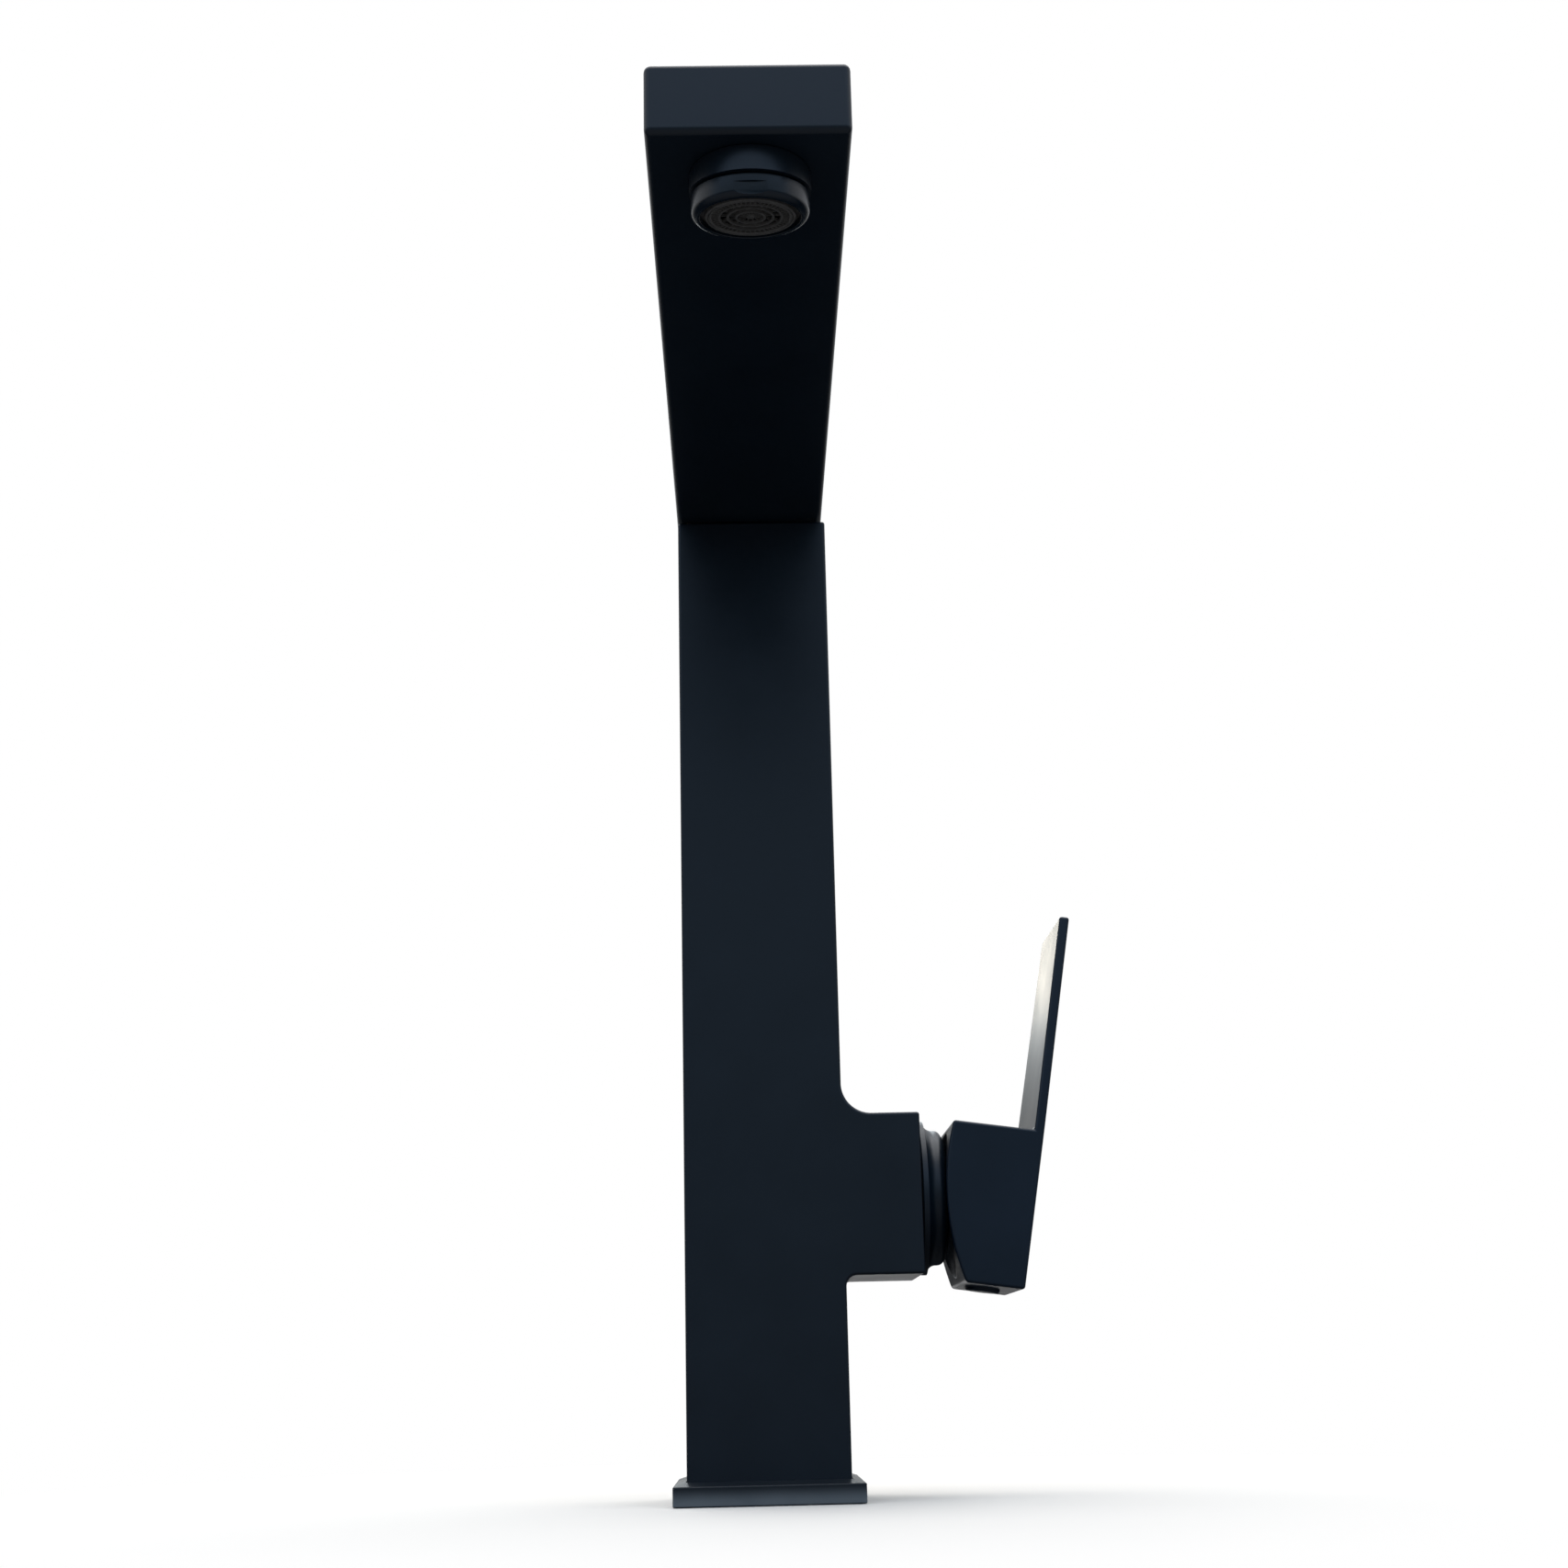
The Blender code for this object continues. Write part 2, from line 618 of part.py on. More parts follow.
def aerator_insert():
    """Rim and rings on a cross of spokes, nearly flush with the collar's lip."""
    face = COLLAR_BOTTOM + 0.0001
    shoulder = COLLAR_SHELF + GAP
    top = shoulder + 0.0008
    inner, outer = INSERT_RIM
    profile = [
        (INSERT_RADIUS, top),
        (INSERT_RADIUS, shoulder),
        (outer, shoulder),
        (outer, face),
        (inner, face),
        (inner, top),
    ]
    insert = aerator_turned("aerator_insert", profile, GREY_PLASTIC)
    for i, radius in enumerate((0.0072, 0.0053, 0.0034)):
        join(insert, aerator_turned(f"insert_ring_{i}", ring(radius - 0.0006, radius, face, face + 0.0012)))
    reach = inner + 0.0004
    for i in range(2):
        spoke = box(f"insert_spoke_{i}", (-reach, -0.0005, face + 0.0002), (reach, 0.0005, face + 0.0010))
        spoke.rotation_euler = (0.0, 0.0, math.pi / 2 * i)
        join(insert, spoke)
    return insert


def aerator_housing():
    """Threaded collar with a rounded lip and two wrench flats."""
    inside = COLLAR_RADIUS - COLLAR_WALL
    top = FLANGE_END - GAP
    lip = (COLLAR_RADIUS - COLLAR_LIP, COLLAR_BOTTOM + COLLAR_LIP)
    profile = [
        (COLLAR_RADIUS, top),
        *corner_arc(lip, COLLAR_LIP, 0.0, -90.0),
        (COLLAR_MOUTH + 0.0003, COLLAR_BOTTOM),
        (COLLAR_MOUTH, COLLAR_BOTTOM + 0.0003),
        (COLLAR_MOUTH, COLLAR_SHELF),
        (inside, COLLAR_SHELF),
        (inside, top),
    ]
    collar = aerator_turned("aerator_housing", profile, SATIN_BLACK)
    reach = COLLAR_RADIUS - FLAT_DEPTH
    low, high = COLLAR_BOTTOM - 0.001, COLLAR_BOTTOM + FLAT_HEIGHT
    for i, (start, end) in enumerate(((-0.02, -reach), (reach, 0.02))):
        cut(collar, box(f"wrench_flat_{i}", (-0.01, start, low), (0.01, end, high)))
    return collar


def build_aerator(spout_axis):
    """The stack under the nipple's flange, drawn on its own tilted axis from the spout's underside."""
    outlet_axis = joint_empty("outlet_axis", (AERATOR_X, AERATOR_Y, SPOUT_UNDER), (OUTLET_TILT, 0.0, 0.0))
    hang(spout_axis, outlet_axis)
    nipple = aerator_nipple()
    hang(spout_axis, nipple)
    below = box("flange_end", (-0.02, -0.02, -0.03), (0.02, 0.02, FLANGE_END))
    neck = rod("nipple_thread", 0.0114, (0.0, 0.0, FLANGE_END + 0.002), (0.0, 0.0, NECK_END), sides=ROUND)
    bore = rod("nipple_bore", INSERT_RIM[0], (0.0, 0.0, -0.02), (0.0, 0.0, 0.02), sides=ROUND)
    cut(nipple, below)
    join(nipple, neck)
    cut(nipple, bore)
    washer_top = NECK_END - GAP
    washer_low = washer_top - 0.0004
    washer = aerator_turned("aerator_washer", ring(0.0090, INSERT_RADIUS, washer_low, washer_top), RUBBER)
    regulator = ring(0.0024, INSERT_RIM[0] - GAP, washer_low, washer_low + 0.0024)
    stack = [
        washer,
        aerator_turned("flow_regulator", regulator, WHITE_PLASTIC),
        aerator_screen(),
        aerator_insert(),
        aerator_housing(),
    ]
    hang(outlet_axis, below, neck, bore, *stack, in_place=False)


def build_spout():
    spout_axis = joint_empty("spout_axis", (0.0, 0.0, SPOUT_UNDER))
    hang(spout_axis, spout_bar(), spout_stem(), *stem_o_rings())
    build_aerator(spout_axis)


# ---------------------------------------------------------------- the valve's moving pieces
def rotor():
    """Turns with the lever in the shell, and has a slot that the stem tilts in."""
    start, end = ROTOR_X
    step = 0.0333
    low, high = (start, 0.0, VALVE_Z), (step, 0.0, VALVE_Z)
    body = rod("rotor", DISC_RADIUS, low, high, WHITE_PLASTIC, sides=ROUND)
    neck = rod("rotor_neck", ROTOR_NECK, (step - 0.002, 0.0, VALVE_Z), (end, 0.0, VALVE_Z), sides=ROUND)
    groove = turned("rotor_groove", ring(0.0128, 0.0160, 0.0341, 0.0355), None, (0.0, 0.0, VALVE_Z), "X")
    guide = box("carrier_guide", (0.01, -0.0092, VALVE_Z - 0.02), (0.0295, 0.0092, VALVE_Z + 0.02))
    slot = box("stem_slot", (0.028, -0.0038, VALVE_Z - 0.0056), (0.05, 0.0038, VALVE_Z + 0.0056))
    hole = rod("rotor_pin_hole", PIN_RADIUS + 0.00006, (PIVOT_X, -0.02, VALVE_Z), (PIVOT_X, 0.02, VALVE_Z))
    join(body, neck)
    return cut(body, groove, guide, slot, hole)


def build_rotor():
    pin = rod("pivot_pin", PIN_RADIUS, (PIVOT_X, -0.0132, VALVE_Z), (PIVOT_X, 0.0132, VALVE_Z), STEEL)
    section = o_ring(0.0135, 0.0010, 0.0348)
    seal = turned("rotor_o_ring", section, RUBBER, at=(0.0, 0.0, VALVE_Z), along="X", steps=ROUND)
    hang(joint_empty("temperature_axis", (PIVOT_X, 0.0, VALVE_Z)), rotor(), pin, seal)


def build_disc():
    """The ceramic disc and its carrier, which the stem's ball pushes up and down."""
    z = VALVE_Z + DISC_DROP
    start, end = CARRIER_X
    carrier = box("disc_carrier", (start, -0.0090, z - 0.0085), (end, 0.0090, z + 0.0085), GREY_PLASTIC)
    round_edges(carrier, 0.0008, segments=1)
    cut(carrier, box("ball_pocket", (0.0239, -0.0033, z - 0.0033), (0.04, 0.0033, z + 0.0033)))
    start, end = MOVING_DISC_X
    disc = rod("moving_disc", 0.0098, (start, 0.0, z), (end, 0.0, z), CERAMIC, sides=ROUND)
    cut(disc, rod("mixing_chamber", 0.0068, (0.015, 0.0, z), (start + 0.0011, 0.0, z)))
    hang(joint_empty("disc_axis", (CARRIER_X[0], 0.0, z)), carrier, disc)


# ---------------------------------------------------------------- the lever
def stem():
    """Square stem with a ball at its inner end, drawn from the pivot along +X."""
    bar = box("lever_stem", (-0.0055, -0.0035, -0.0035), (0.0310, 0.0035, 0.0035), BRASS)
    neck = rod("stem_neck", 0.0022, (-BALL_ARM, 0.0, 0.0), (-0.004, 0.0, 0.0), sides=16)
    tip = ball("stem_ball", 0.0029, (-BALL_ARM, 0.0, 0.0))
    join(bar, neck, tip)
    return cut(bar, rod("stem_pin_hole", PIN_RADIUS + 0.00006, (0.0, -0.01, 0.0), (0.0, 0.01, 0.0)))


def lever_handle():
    """Hub and blade in one casting, drawn from the pivot with +X outwards and +Z up the blade."""
    top = 180.0 - math.degrees(math.asin((HUB_TOP - HUB_BACK_MIDDLE[1]) / HUB_BACK))
    low = 180.0 - math.degrees(math.asin((HUB_LOW - HUB_BACK_MIDDLE[1]) / HUB_BACK))
    outline = [
        *corner_arc(HUB_BACK_MIDDLE, HUB_BACK, top, low, steps=8),
        (0.0377, HUB_LOW),
        (0.0417, TIP_TOP),
        (0.0388, TIP_TOP),
        (0.0365, HUB_TOP),
    ]
    handle = prism("lever_handle", outline, HUB_HALF, SATIN_BLACK)
    round_edges(handle, 0.0007)
    taper = math.atan2(HUB_HALF - TIP_HALF, TIP_TOP - HUB_TOP)
    for i, sign in enumerate((-1, 1)):
        side = box(f"blade_taper_{i}", (0.0, 0.0, 0.0), (0.03, 0.01, 0.09))
        side.data.transform(Matrix.Translation((0.015, 0.005 * sign, 0.045)))
        side.location = (0.025, HUB_HALF * sign, HUB_TOP)
        side.rotation_euler = (taper * sign, 0.0, 0.0)
        cut(handle, side)
    recess = rod("hub_recess", RECESS_RADIUS, (-0.01, 0.0, 0.0), (RECESS_DEPTH, 0.0, 0.0), sides=ROUND)
    pocket = rod("hub_pocket", 0.0170, (RECESS_DEPTH - 0.003, 0.0, 0.0), (0.0340, 0.0, 0.0), sides=ROUND)
    x = HANDLE_SCREW_X
    screw_hole = rod("handle_screw_hole", 0.0026, (x, 0.0, -0.03), (x, 0.0, 0.006), sides=16)
    plug_hole = rod("plug_hole", 0.0053, (x, 0.0, -0.03), (x, 0.0, -0.0180))
    cut(handle, recess, pocket, screw_hole, plug_hole)
    return handle, pocket


def build_lever():
    """The handle and the stem share the pivot, but lean opposite ways."""
    pivot = (PIVOT_X, 0.0, VALVE_Z)
    stem_axis = joint_empty("stem_axis", pivot, (0.0, STEM_TILT, 0.0))
    lever_axis = joint_empty("lever_axis", pivot, (0.0, HANDLE_TILT, 0.0))
    hang(stem_axis, stem(), in_place=False)
    handle, pocket = lever_handle()
    x = HANDLE_SCREW_X
    screw = rod("handle_screw", 0.0023, (x, 0.0, -0.0020), (x, 0.0, 0.0041), STEEL, sides=16)
    cut(screw, rod("handle_screw_key", 0.0012, (x, 0.0, -0.01), (x, 0.0, 0.0005), sides=6))
    plug = rod("screw_plug", 0.0050, (x, 0.0, HUB_LOW - 0.0010), (x, 0.0, -0.0183), STEEL)
    hang(lever_axis, handle, screw, plug, in_place=False)
    boss = rod("stem_boss", 0.0076, (0.010, 0.0, 0.0), (0.045, 0.0, 0.0))
    socket = box("stem_socket", (-0.0060, -0.0037, -0.0037), (0.0314, 0.0037, 0.0037))
    cut(pocket, boss)
    cut(handle, socket)
    hang(stem_axis, boss, socket, in_place=False)


# ---------------------------------------------------------------- the whole tap
column_body()
base_plate()
base_gasket()
foot_block()
tubes()
cartridge_manifold()
spout_socket()
swivel_washer()
spout_set_screw()
cartridge_base()
port_seals()
cartridge_shell()
fixed_disc()
bonnet_nut()
dome_cap()
build_spout()
build_rotor()
build_disc()
build_lever()
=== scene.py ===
# %% [markdown]
# # A tall single-lever mixer tap
#
# This lesson dresses a tap whose mechanical design is finished. The design fixes every size and every
# joint; here the shells that show are made again with fine rounded edges, the small repeated work (thread
# turns, aerator ribs, mesh wires) is grown by Geometry Nodes, and each surface gets a finish.
#
# All lengths are in metres and +Z is up. The origin is on the column's axis, at the level of the worktop.
# The spout points to -Y and the lever stands on the +X side.

# %% Load the design as a fixed frame
import json
import math

import bmesh
import bpy
from mathutils import Matrix, Vector


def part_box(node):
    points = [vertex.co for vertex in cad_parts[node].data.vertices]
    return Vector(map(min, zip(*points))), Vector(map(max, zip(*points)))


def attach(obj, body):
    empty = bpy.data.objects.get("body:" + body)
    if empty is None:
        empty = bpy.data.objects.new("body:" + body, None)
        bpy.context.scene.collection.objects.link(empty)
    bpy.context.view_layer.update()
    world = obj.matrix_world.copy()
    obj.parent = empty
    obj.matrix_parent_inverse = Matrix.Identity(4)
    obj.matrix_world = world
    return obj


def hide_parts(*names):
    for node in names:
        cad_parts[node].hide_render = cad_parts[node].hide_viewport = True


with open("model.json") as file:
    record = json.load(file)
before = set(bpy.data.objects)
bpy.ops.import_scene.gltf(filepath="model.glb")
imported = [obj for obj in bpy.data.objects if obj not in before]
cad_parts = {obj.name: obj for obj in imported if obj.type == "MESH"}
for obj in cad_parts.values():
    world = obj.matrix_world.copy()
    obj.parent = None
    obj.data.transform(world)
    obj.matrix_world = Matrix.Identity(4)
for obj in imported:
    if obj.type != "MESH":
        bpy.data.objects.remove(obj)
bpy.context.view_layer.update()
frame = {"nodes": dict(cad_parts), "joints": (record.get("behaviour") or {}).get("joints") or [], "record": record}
MM = 0.001
print("nodes:", len(frame["nodes"]))

# %% [markdown]
# ## The studio
#
# A photographer would stand a black tap on a pale table, in front of a white backdrop, and keep the room
# behind the camera dim. Satin black shows mostly what it mirrors: the dim side makes the faces that look
# at the camera deep, while the paler sides draw light lines along the edges.
#
# A white table and backdrop would also flood the black with grey. So both are white only where the camera
# sees them directly, and darker in every reflection, which is what black flags beside a lens do.

# %% Backdrop that is white to the lens and dimmer in reflections
def node(tree, kind, **inputs):
    """Adds a shader node and sets some of its inputs."""
    made = tree.nodes.new(kind)
    for name, value in inputs.items():
        made.inputs[name.replace("_", " ")].default_value = value
    return made


def split_by_camera(tree, seen, mirrored):
    """One shader for rays straight from the lens, and another for all the rest."""
    path = tree.nodes.new("ShaderNodeLightPath")
    mix = tree.nodes.new("ShaderNodeMixShader")
    tree.links.new(path.outputs["Is Camera Ray"], mix.inputs["Fac"])
    tree.links.new(mirrored, mix.inputs[1])
    tree.links.new(seen, mix.inputs[2])
    return mix.outputs["Shader"]


def ramp(tree, value, stops):
    """Maps a number from 0 to 1 through a list of (position, grey or colour) stops."""
    made = tree.nodes.new("ShaderNodeValToRGB")
    elements = made.color_ramp.elements
    while len(elements) < len(stops):
        elements.new(0.5)
    for element, (position, colour) in zip(elements, stops):
        element.position = position
        element.color = (*colour, 1.0)
    tree.links.new(value, made.inputs["Fac"])
    return made.outputs["Color"]


def mix_colours(tree, factor, first, second):
    """Blends two colours, each a plain colour or another node's output."""
    made = tree.nodes.new("ShaderNodeMix")
    made.data_type = "RGBA"
    tree.links.new(factor, made.inputs["Factor"])
    for name, colour in (("A", first), ("B", second)):
        if isinstance(colour, bpy.types.NodeSocket):
            tree.links.new(colour, made.inputs[name])
        else:
            made.inputs[name].default_value = (*colour, 1.0)
    return made.outputs["Result"]


# %% The room's brightness by direction
# Each stop is a height, from straight down (0) through level (0.5) to straight up (1), and a colour.
FRONT_ROOM = (  # behind the camera
    (0.44, (0.030, 0.038, 0.040)),
    (0.51, (0.070, 0.110, 0.140)),
    (0.60, (0.225, 0.285, 0.330)),
    (0.77, (0.420, 0.580, 0.820)),
    (1.00, (0.800, 0.850, 0.950)),
)
BACK_ROOM = (  # behind the tap
    (0.48, (0.060, 0.062, 0.062)),
    (0.56, (0.420, 0.420, 0.410)),
    (0.70, (0.600, 0.620, 0.650)),
    (1.00, (0.850, 0.880, 0.950)),
)
ROOM_TURN = (-0.55, 0.05)  # from and to these Y directions the front room turns into the back room


def make_world():
    world = bpy.data.worlds.new("studio")
    bpy.context.scene.world = world
    world.use_nodes = True
    tree = world.node_tree
    tree.nodes.clear()
    place = tree.nodes.new("ShaderNodeTexCoord")
    axes = tree.nodes.new("ShaderNodeSeparateXYZ")
    tree.links.new(place.outputs["Generated"], axes.inputs["Vector"])
    height = node(tree, "ShaderNodeMapRange", From_Min=-1.0, From_Max=1.0)
    tree.links.new(axes.outputs["Z"], height.inputs["Value"])
    backward = node(tree, "ShaderNodeMapRange", From_Min=ROOM_TURN[0], From_Max=ROOM_TURN[1])
    backward.interpolation_type = "SMOOTHSTEP"
    tree.links.new(axes.outputs["Y"], backward.inputs["Value"])
    front = ramp(tree, height.outputs["Result"], FRONT_ROOM)
    back = ramp(tree, height.outputs["Result"], BACK_ROOM)
    room = tree.nodes.new("ShaderNodeBackground")
    tree.links.new(mix_colours(tree, backward.outputs["Result"], front, back), room.inputs["Color"])
    backdrop = node(tree, "ShaderNodeBackground", Color=(1.0, 1.0, 1.0, 1.0))
    out = tree.nodes.new("ShaderNodeOutputWorld")
    shader = split_by_camera(tree, backdrop.outputs["Background"], room.outputs["Background"])
    tree.links.new(shader, out.inputs["Surface"])
    return world


make_world()
bpy.context.scene.view_settings.view_transform = "Standard"
print("world:", bpy.context.scene.world.name)

# %% Floor
FLOOR_HALF = 3.0
FLOOR_DROP = 0.2 * MM  # keeps the floor clear of the plate's underside
FLOOR_SEEN = (1.00, 0.955, 0.885)  # a warm white, which answers the room's blue light
FLOOR_FADE = (0.05, 0.32)  # from and to these distances the seen floor turns into the white backdrop
FLOOR_MIRRORED = (  # from front to back, as a part of the floor's depth
    (0.46, (0.170, 0.170, 0.170)),
    (0.52, (0.012, 0.014, 0.018)),
    (0.68, (0.012, 0.014, 0.018)),
    (0.80, (0.100, 0.100, 0.100)),
)


def seen_floor(tree, place):
    """A diffuse floor near the tap, which turns into the white backdrop further out."""
    near = node(tree, "ShaderNodeBsdfDiffuse", Color=(*FLOOR_SEEN, 1.0))
    far = node(tree, "ShaderNodeEmission", Color=(1.0, 1.0, 1.0, 1.0))
    distance = tree.nodes.new("ShaderNodeVectorMath")
    distance.operation = "LENGTH"
    tree.links.new(place, distance.inputs[0])
    fade = node(tree, "ShaderNodeMapRange", From_Min=FLOOR_FADE[0], From_Max=FLOOR_FADE[1])
    fade.interpolation_type = "SMOOTHSTEP"
    tree.links.new(distance.outputs["Value"], fade.inputs["Value"])
    seen = tree.nodes.new("ShaderNodeMixShader")
    tree.links.new(fade.outputs["Result"], seen.inputs["Fac"])
    tree.links.new(near.outputs["BSDF"], seen.inputs[1])
    tree.links.new(far.outputs["Emission"], seen.inputs[2])
    return seen.outputs["Shader"]


def mirrored_floor(tree, place):
    """The darker floor that the black faces mirror."""
    axes = tree.nodes.new("ShaderNodeSeparateXYZ")
    tree.links.new(place, axes.inputs["Vector"])
    depth = node(tree, "ShaderNodeMapRange", From_Min=-FLOOR_HALF, From_Max=FLOOR_HALF)
    tree.links.new(axes.outputs["Y"], depth.inputs["Value"])
    mirrored = tree.nodes.new("ShaderNodeBsdfDiffuse")
    tree.links.new(ramp(tree, depth.outputs["Result"], FLOOR_MIRRORED), mirrored.inputs["Color"])
    return mirrored.outputs["BSDF"]


def floor_paint():
    paint = bpy.data.materials.new("studio_floor_paint")
    paint.use_nodes = True
    tree = paint.node_tree
    tree.nodes.clear()
    place = tree.nodes.new("ShaderNodeTexCoord").outputs["Object"]
    shader = split_by_camera(tree, seen_floor(tree, place), mirrored_floor(tree, place))
    out = tree.nodes.new("ShaderNodeOutputMaterial")
    tree.links.new(shader, out.inputs["Surface"])
    return paint


def make_floor():
    bm = bmesh.new()
    bmesh.ops.create_grid(bm, x_segments=2, y_segments=2, size=FLOOR_HALF)
    mesh = bpy.data.meshes.new("studio_floor")
    bm.to_mesh(mesh)
    bm.free()
    mesh.materials.append(floor_paint())
    floor = bpy.data.objects.new("studio_floor", mesh)
    bpy.context.scene.collection.objects.link(floor)
    floor.location.z = -FLOOR_DROP
    return floor


make_floor()
print("floor:", 2 * FLOOR_HALF, "m square")

# %% [markdown]
# One wide soft panel hangs over the tap. It whitens the table, leaves a soft shadow at the foot and lights
# the upper faces, which the low camera doesn't see but a buyer walking round the tap does. A smaller panel
# behind the tap shines along the inner face of the lever's blade, and a little warm lamp adds a glow there.
# A low strip behind it draws the valve housing's underside.

# %% Soft panels
def make_panel(name, place, target, size, power, colour=(1.0, 1.0, 1.0), spread=180.0):
    """A soft rectangular light that faces a point and hides from the lens."""
    data = bpy.data.lights.new(name, "AREA")
    data.shape = "RECTANGLE"
    data.size, data.size_y = size
    data.energy = power
    data.color = colour
    data.spread = math.radians(spread)
    panel = bpy.data.objects.new(name, data)
    bpy.context.scene.collection.objects.link(panel)
    panel.location = place
    panel.rotation_mode = "QUATERNION"
    panel.rotation_quaternion = (Vector(target) - Vector(place)).to_track_quat("-Z", "Y")
    panel.visible_camera = False
    return panel


make_panel("overhead", (0.0, 0.25, 1.9), (0.0, 0.0, 0.0), (2.2, 2.2), 22.0)
make_panel("rear", (-0.03, 0.95, 0.56), (0.083, 0.0, 0.13), (0.5, 0.5), 1.2, (0.90, 1.0, 1.04))
make_panel("warm_lamp", (0.02, 0.80, 0.36), (0.083, 0.0, 0.13), (0.12, 0.12), 0.16, (1.0, 0.84, 0.62))
make_panel("low_lamp", (0.036, 0.45, 0.020), (0.034, 0.0, 0.060), (0.30, 0.03), 0.0013, spread=24.0)

# %% [markdown]
# The camera stands low and close in front of the spout's tip and looks up at it, so the spout's flat
# underside and the aerator show. The lens is a short telephoto.

# %% Camera
CAMERA_PLACE = Vector((-4.5 * MM, -630.3 * MM, 32.5 * MM))
CAMERA_PITCH = math.radians(15.63)
CAMERA_TURN = math.radians(-1.20)
CAMERA_ROLL = math.radians(-1.31)
LENS, SENSOR = 48.89, 36.0  # focal length and sensor width in millimetres


def make_camera():
    data = bpy.data.cameras.new("camera")
    data.sensor_width = SENSOR
    data.lens = LENS
    data.clip_start = 0.01
    camera = bpy.data.objects.new("camera", data)
    bpy.context.scene.collection.objects.link(camera)
    turn = Matrix.Rotation(CAMERA_TURN, 4, "Z")
    pitch = Matrix.Rotation(math.pi / 2 + CAMERA_PITCH, 4, "X")
    roll = Matrix.Rotation(CAMERA_ROLL, 4, "Z")
    camera.matrix_world = Matrix.Translation(CAMERA_PLACE) @ turn @ pitch @ roll
    bpy.context.scene.camera = camera
    return camera


make_camera()
print("camera at", [round(v, 4) for v in CAMERA_PLACE])

# %% [markdown]
# ## Small tools
#
# Every shell ends the same way: its modifiers are baked into a plain mesh, its place goes into its
# vertices, it is hung on the body it moves with, it takes its finish, and the design solid it stands for
# is hidden. Doing this in one function keeps the pieces honest.
#
# A cut splits a flat face into odd slivers, and the light then slides off it in wedges. So the shading is
# evened after the last cut on each shell, as well as after its edges are rounded.

# %% Shared helpers
def new_object(name, mesh):
    obj = bpy.data.objects.new(name, mesh)
    bpy.context.scene.collection.objects.link(obj)
    return obj


def object_from_bmesh(name, bm):
    mesh = bpy.data.meshes.new(name)
    bm.to_mesh(mesh)
    bm.free()
    return new_object(name, mesh)


def bake(obj):
    """Turns the object's modifiers and place into plain vertices."""
    bpy.context.view_layer.update()
    graph = bpy.context.evaluated_depsgraph_get()
    mesh = bpy.data.meshes.new_from_object(obj.evaluated_get(graph), depsgraph=graph)
    mesh.transform(obj.matrix_world)
    old = obj.data
    obj.modifiers.clear()
    if obj.type == "MESH":
        obj.data = mesh
        result = obj
    else:
        name = obj.name
        bpy.data.objects.remove(obj)
        result = new_object(name, mesh)
    if isinstance(old, bpy.types.Mesh) and old.users == 0:
        bpy.data.meshes.remove(old)
    result.matrix_world = Matrix.Identity(4)
    mesh.name = result.name
    return result


def smooth(obj, degrees=35.0):
    """Rounded stretches look round and flats stay flat."""
    obj.data.shade_smooth()
    obj.data.set_sharp_from_angle(angle=math.radians(degrees))
    return obj


def even_shading(obj, degrees=35.0):
    """Keeps flats flat beside their rounded edges, however the cuts have split them."""
    smooth(obj, degrees)
    weighted = obj.modifiers.new("shading", "WEIGHTED_NORMAL")
    weighted.keep_sharp = True
    return obj


def finish_piece(obj, body, finish, replaced=()):
    """Bakes a piece and hands it to the frame."""
    obj = bake(obj)
    obj.data.materials.clear()
    obj.data.materials.append(finish)
    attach(obj, body)
    if replaced:
        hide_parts(*replaced)
    print(f"{obj.name}: {len(obj.data.polygons)} faces, on {body}")
    return obj


# %% [markdown]
# ## Finishes
#
# A finish is a small node tree. The helper below makes the common part: a Principled shader with a fine
# noise that varies the colour and the roughness a little, and another that makes the skin's bump. All
# patterns read Object coordinates, which are metres here because every piece sits at the origin.

# %% Finish helper
NOISE_MIDDLE = (0.3, 0.7)  # a noise stays almost wholly between these


def noise(tree, coordinates, scale, detail=3.0):
    made = node(tree, "ShaderNodeTexNoise", Scale=scale, Detail=detail)
    tree.links.new(coordinates, made.inputs["Vector"])
    return made.outputs["Fac"]


def spread(tree, value, low, high):
    """Maps a noise's middle range to a range of numbers."""
    first, last = NOISE_MIDDLE
    made = node(tree, "ShaderNodeMapRange", From_Min=first, From_Max=last, To_Min=low, To_Max=high)
    tree.links.new(value, made.inputs["Value"])
    return made.outputs["Result"]


def add_bump(tree, shader, height, distance):
    made = node(tree, "ShaderNodeBump", Distance=distance, Strength=1.0)
    tree.links.new(height, made.inputs["Height"])
    tree.links.new(made.outputs["Normal"], shader.inputs["Normal"])


def object_coordinates(tree, stretch=(1.0, 1.0, 1.0)):
    place = tree.nodes.new("ShaderNodeTexCoord")
    mapping = tree.nodes.new("ShaderNodeMapping")
    mapping.inputs["Scale"].default_value = stretch
    tree.links.new(place.outputs["Object"], mapping.inputs["Vector"])
    return mapping.outputs["Vector"]


def make_finish(name, colours, roughness, metallic=0.0, grain=600.0, bump=(0.0, 1000.0), stretch=(1, 1, 1)):
    """A finish whose colour wanders between two, and its roughness between two numbers."""
    finish = bpy.data.materials.new(name)
    finish.use_nodes = True
    tree = finish.node_tree
    shader = tree.nodes["Principled BSDF"]
    place = object_coordinates(tree, stretch)
    wander = noise(tree, place, grain)
    tree.links.new(mix_colours(tree, spread(tree, wander, 0.0, 1.0), *colours), shader.inputs["Base Color"])
    tree.links.new(spread(tree, wander, *roughness), shader.inputs["Roughness"])
    shader.inputs["Metallic"].default_value = metallic
    height, scale = bump
    if height:
        add_bump(tree, shader, noise(tree, place, scale, detail=2.0), height)
    return finish


# %% Satin black paint
def satin_black(name, colours, roughness, grain=45.0, peel=0.000010):
    """Baked-on black lacquer with a blue cast and a faint orange peel."""
    return make_finish(name, colours, roughness, grain=grain, bump=(peel, 1400.0))


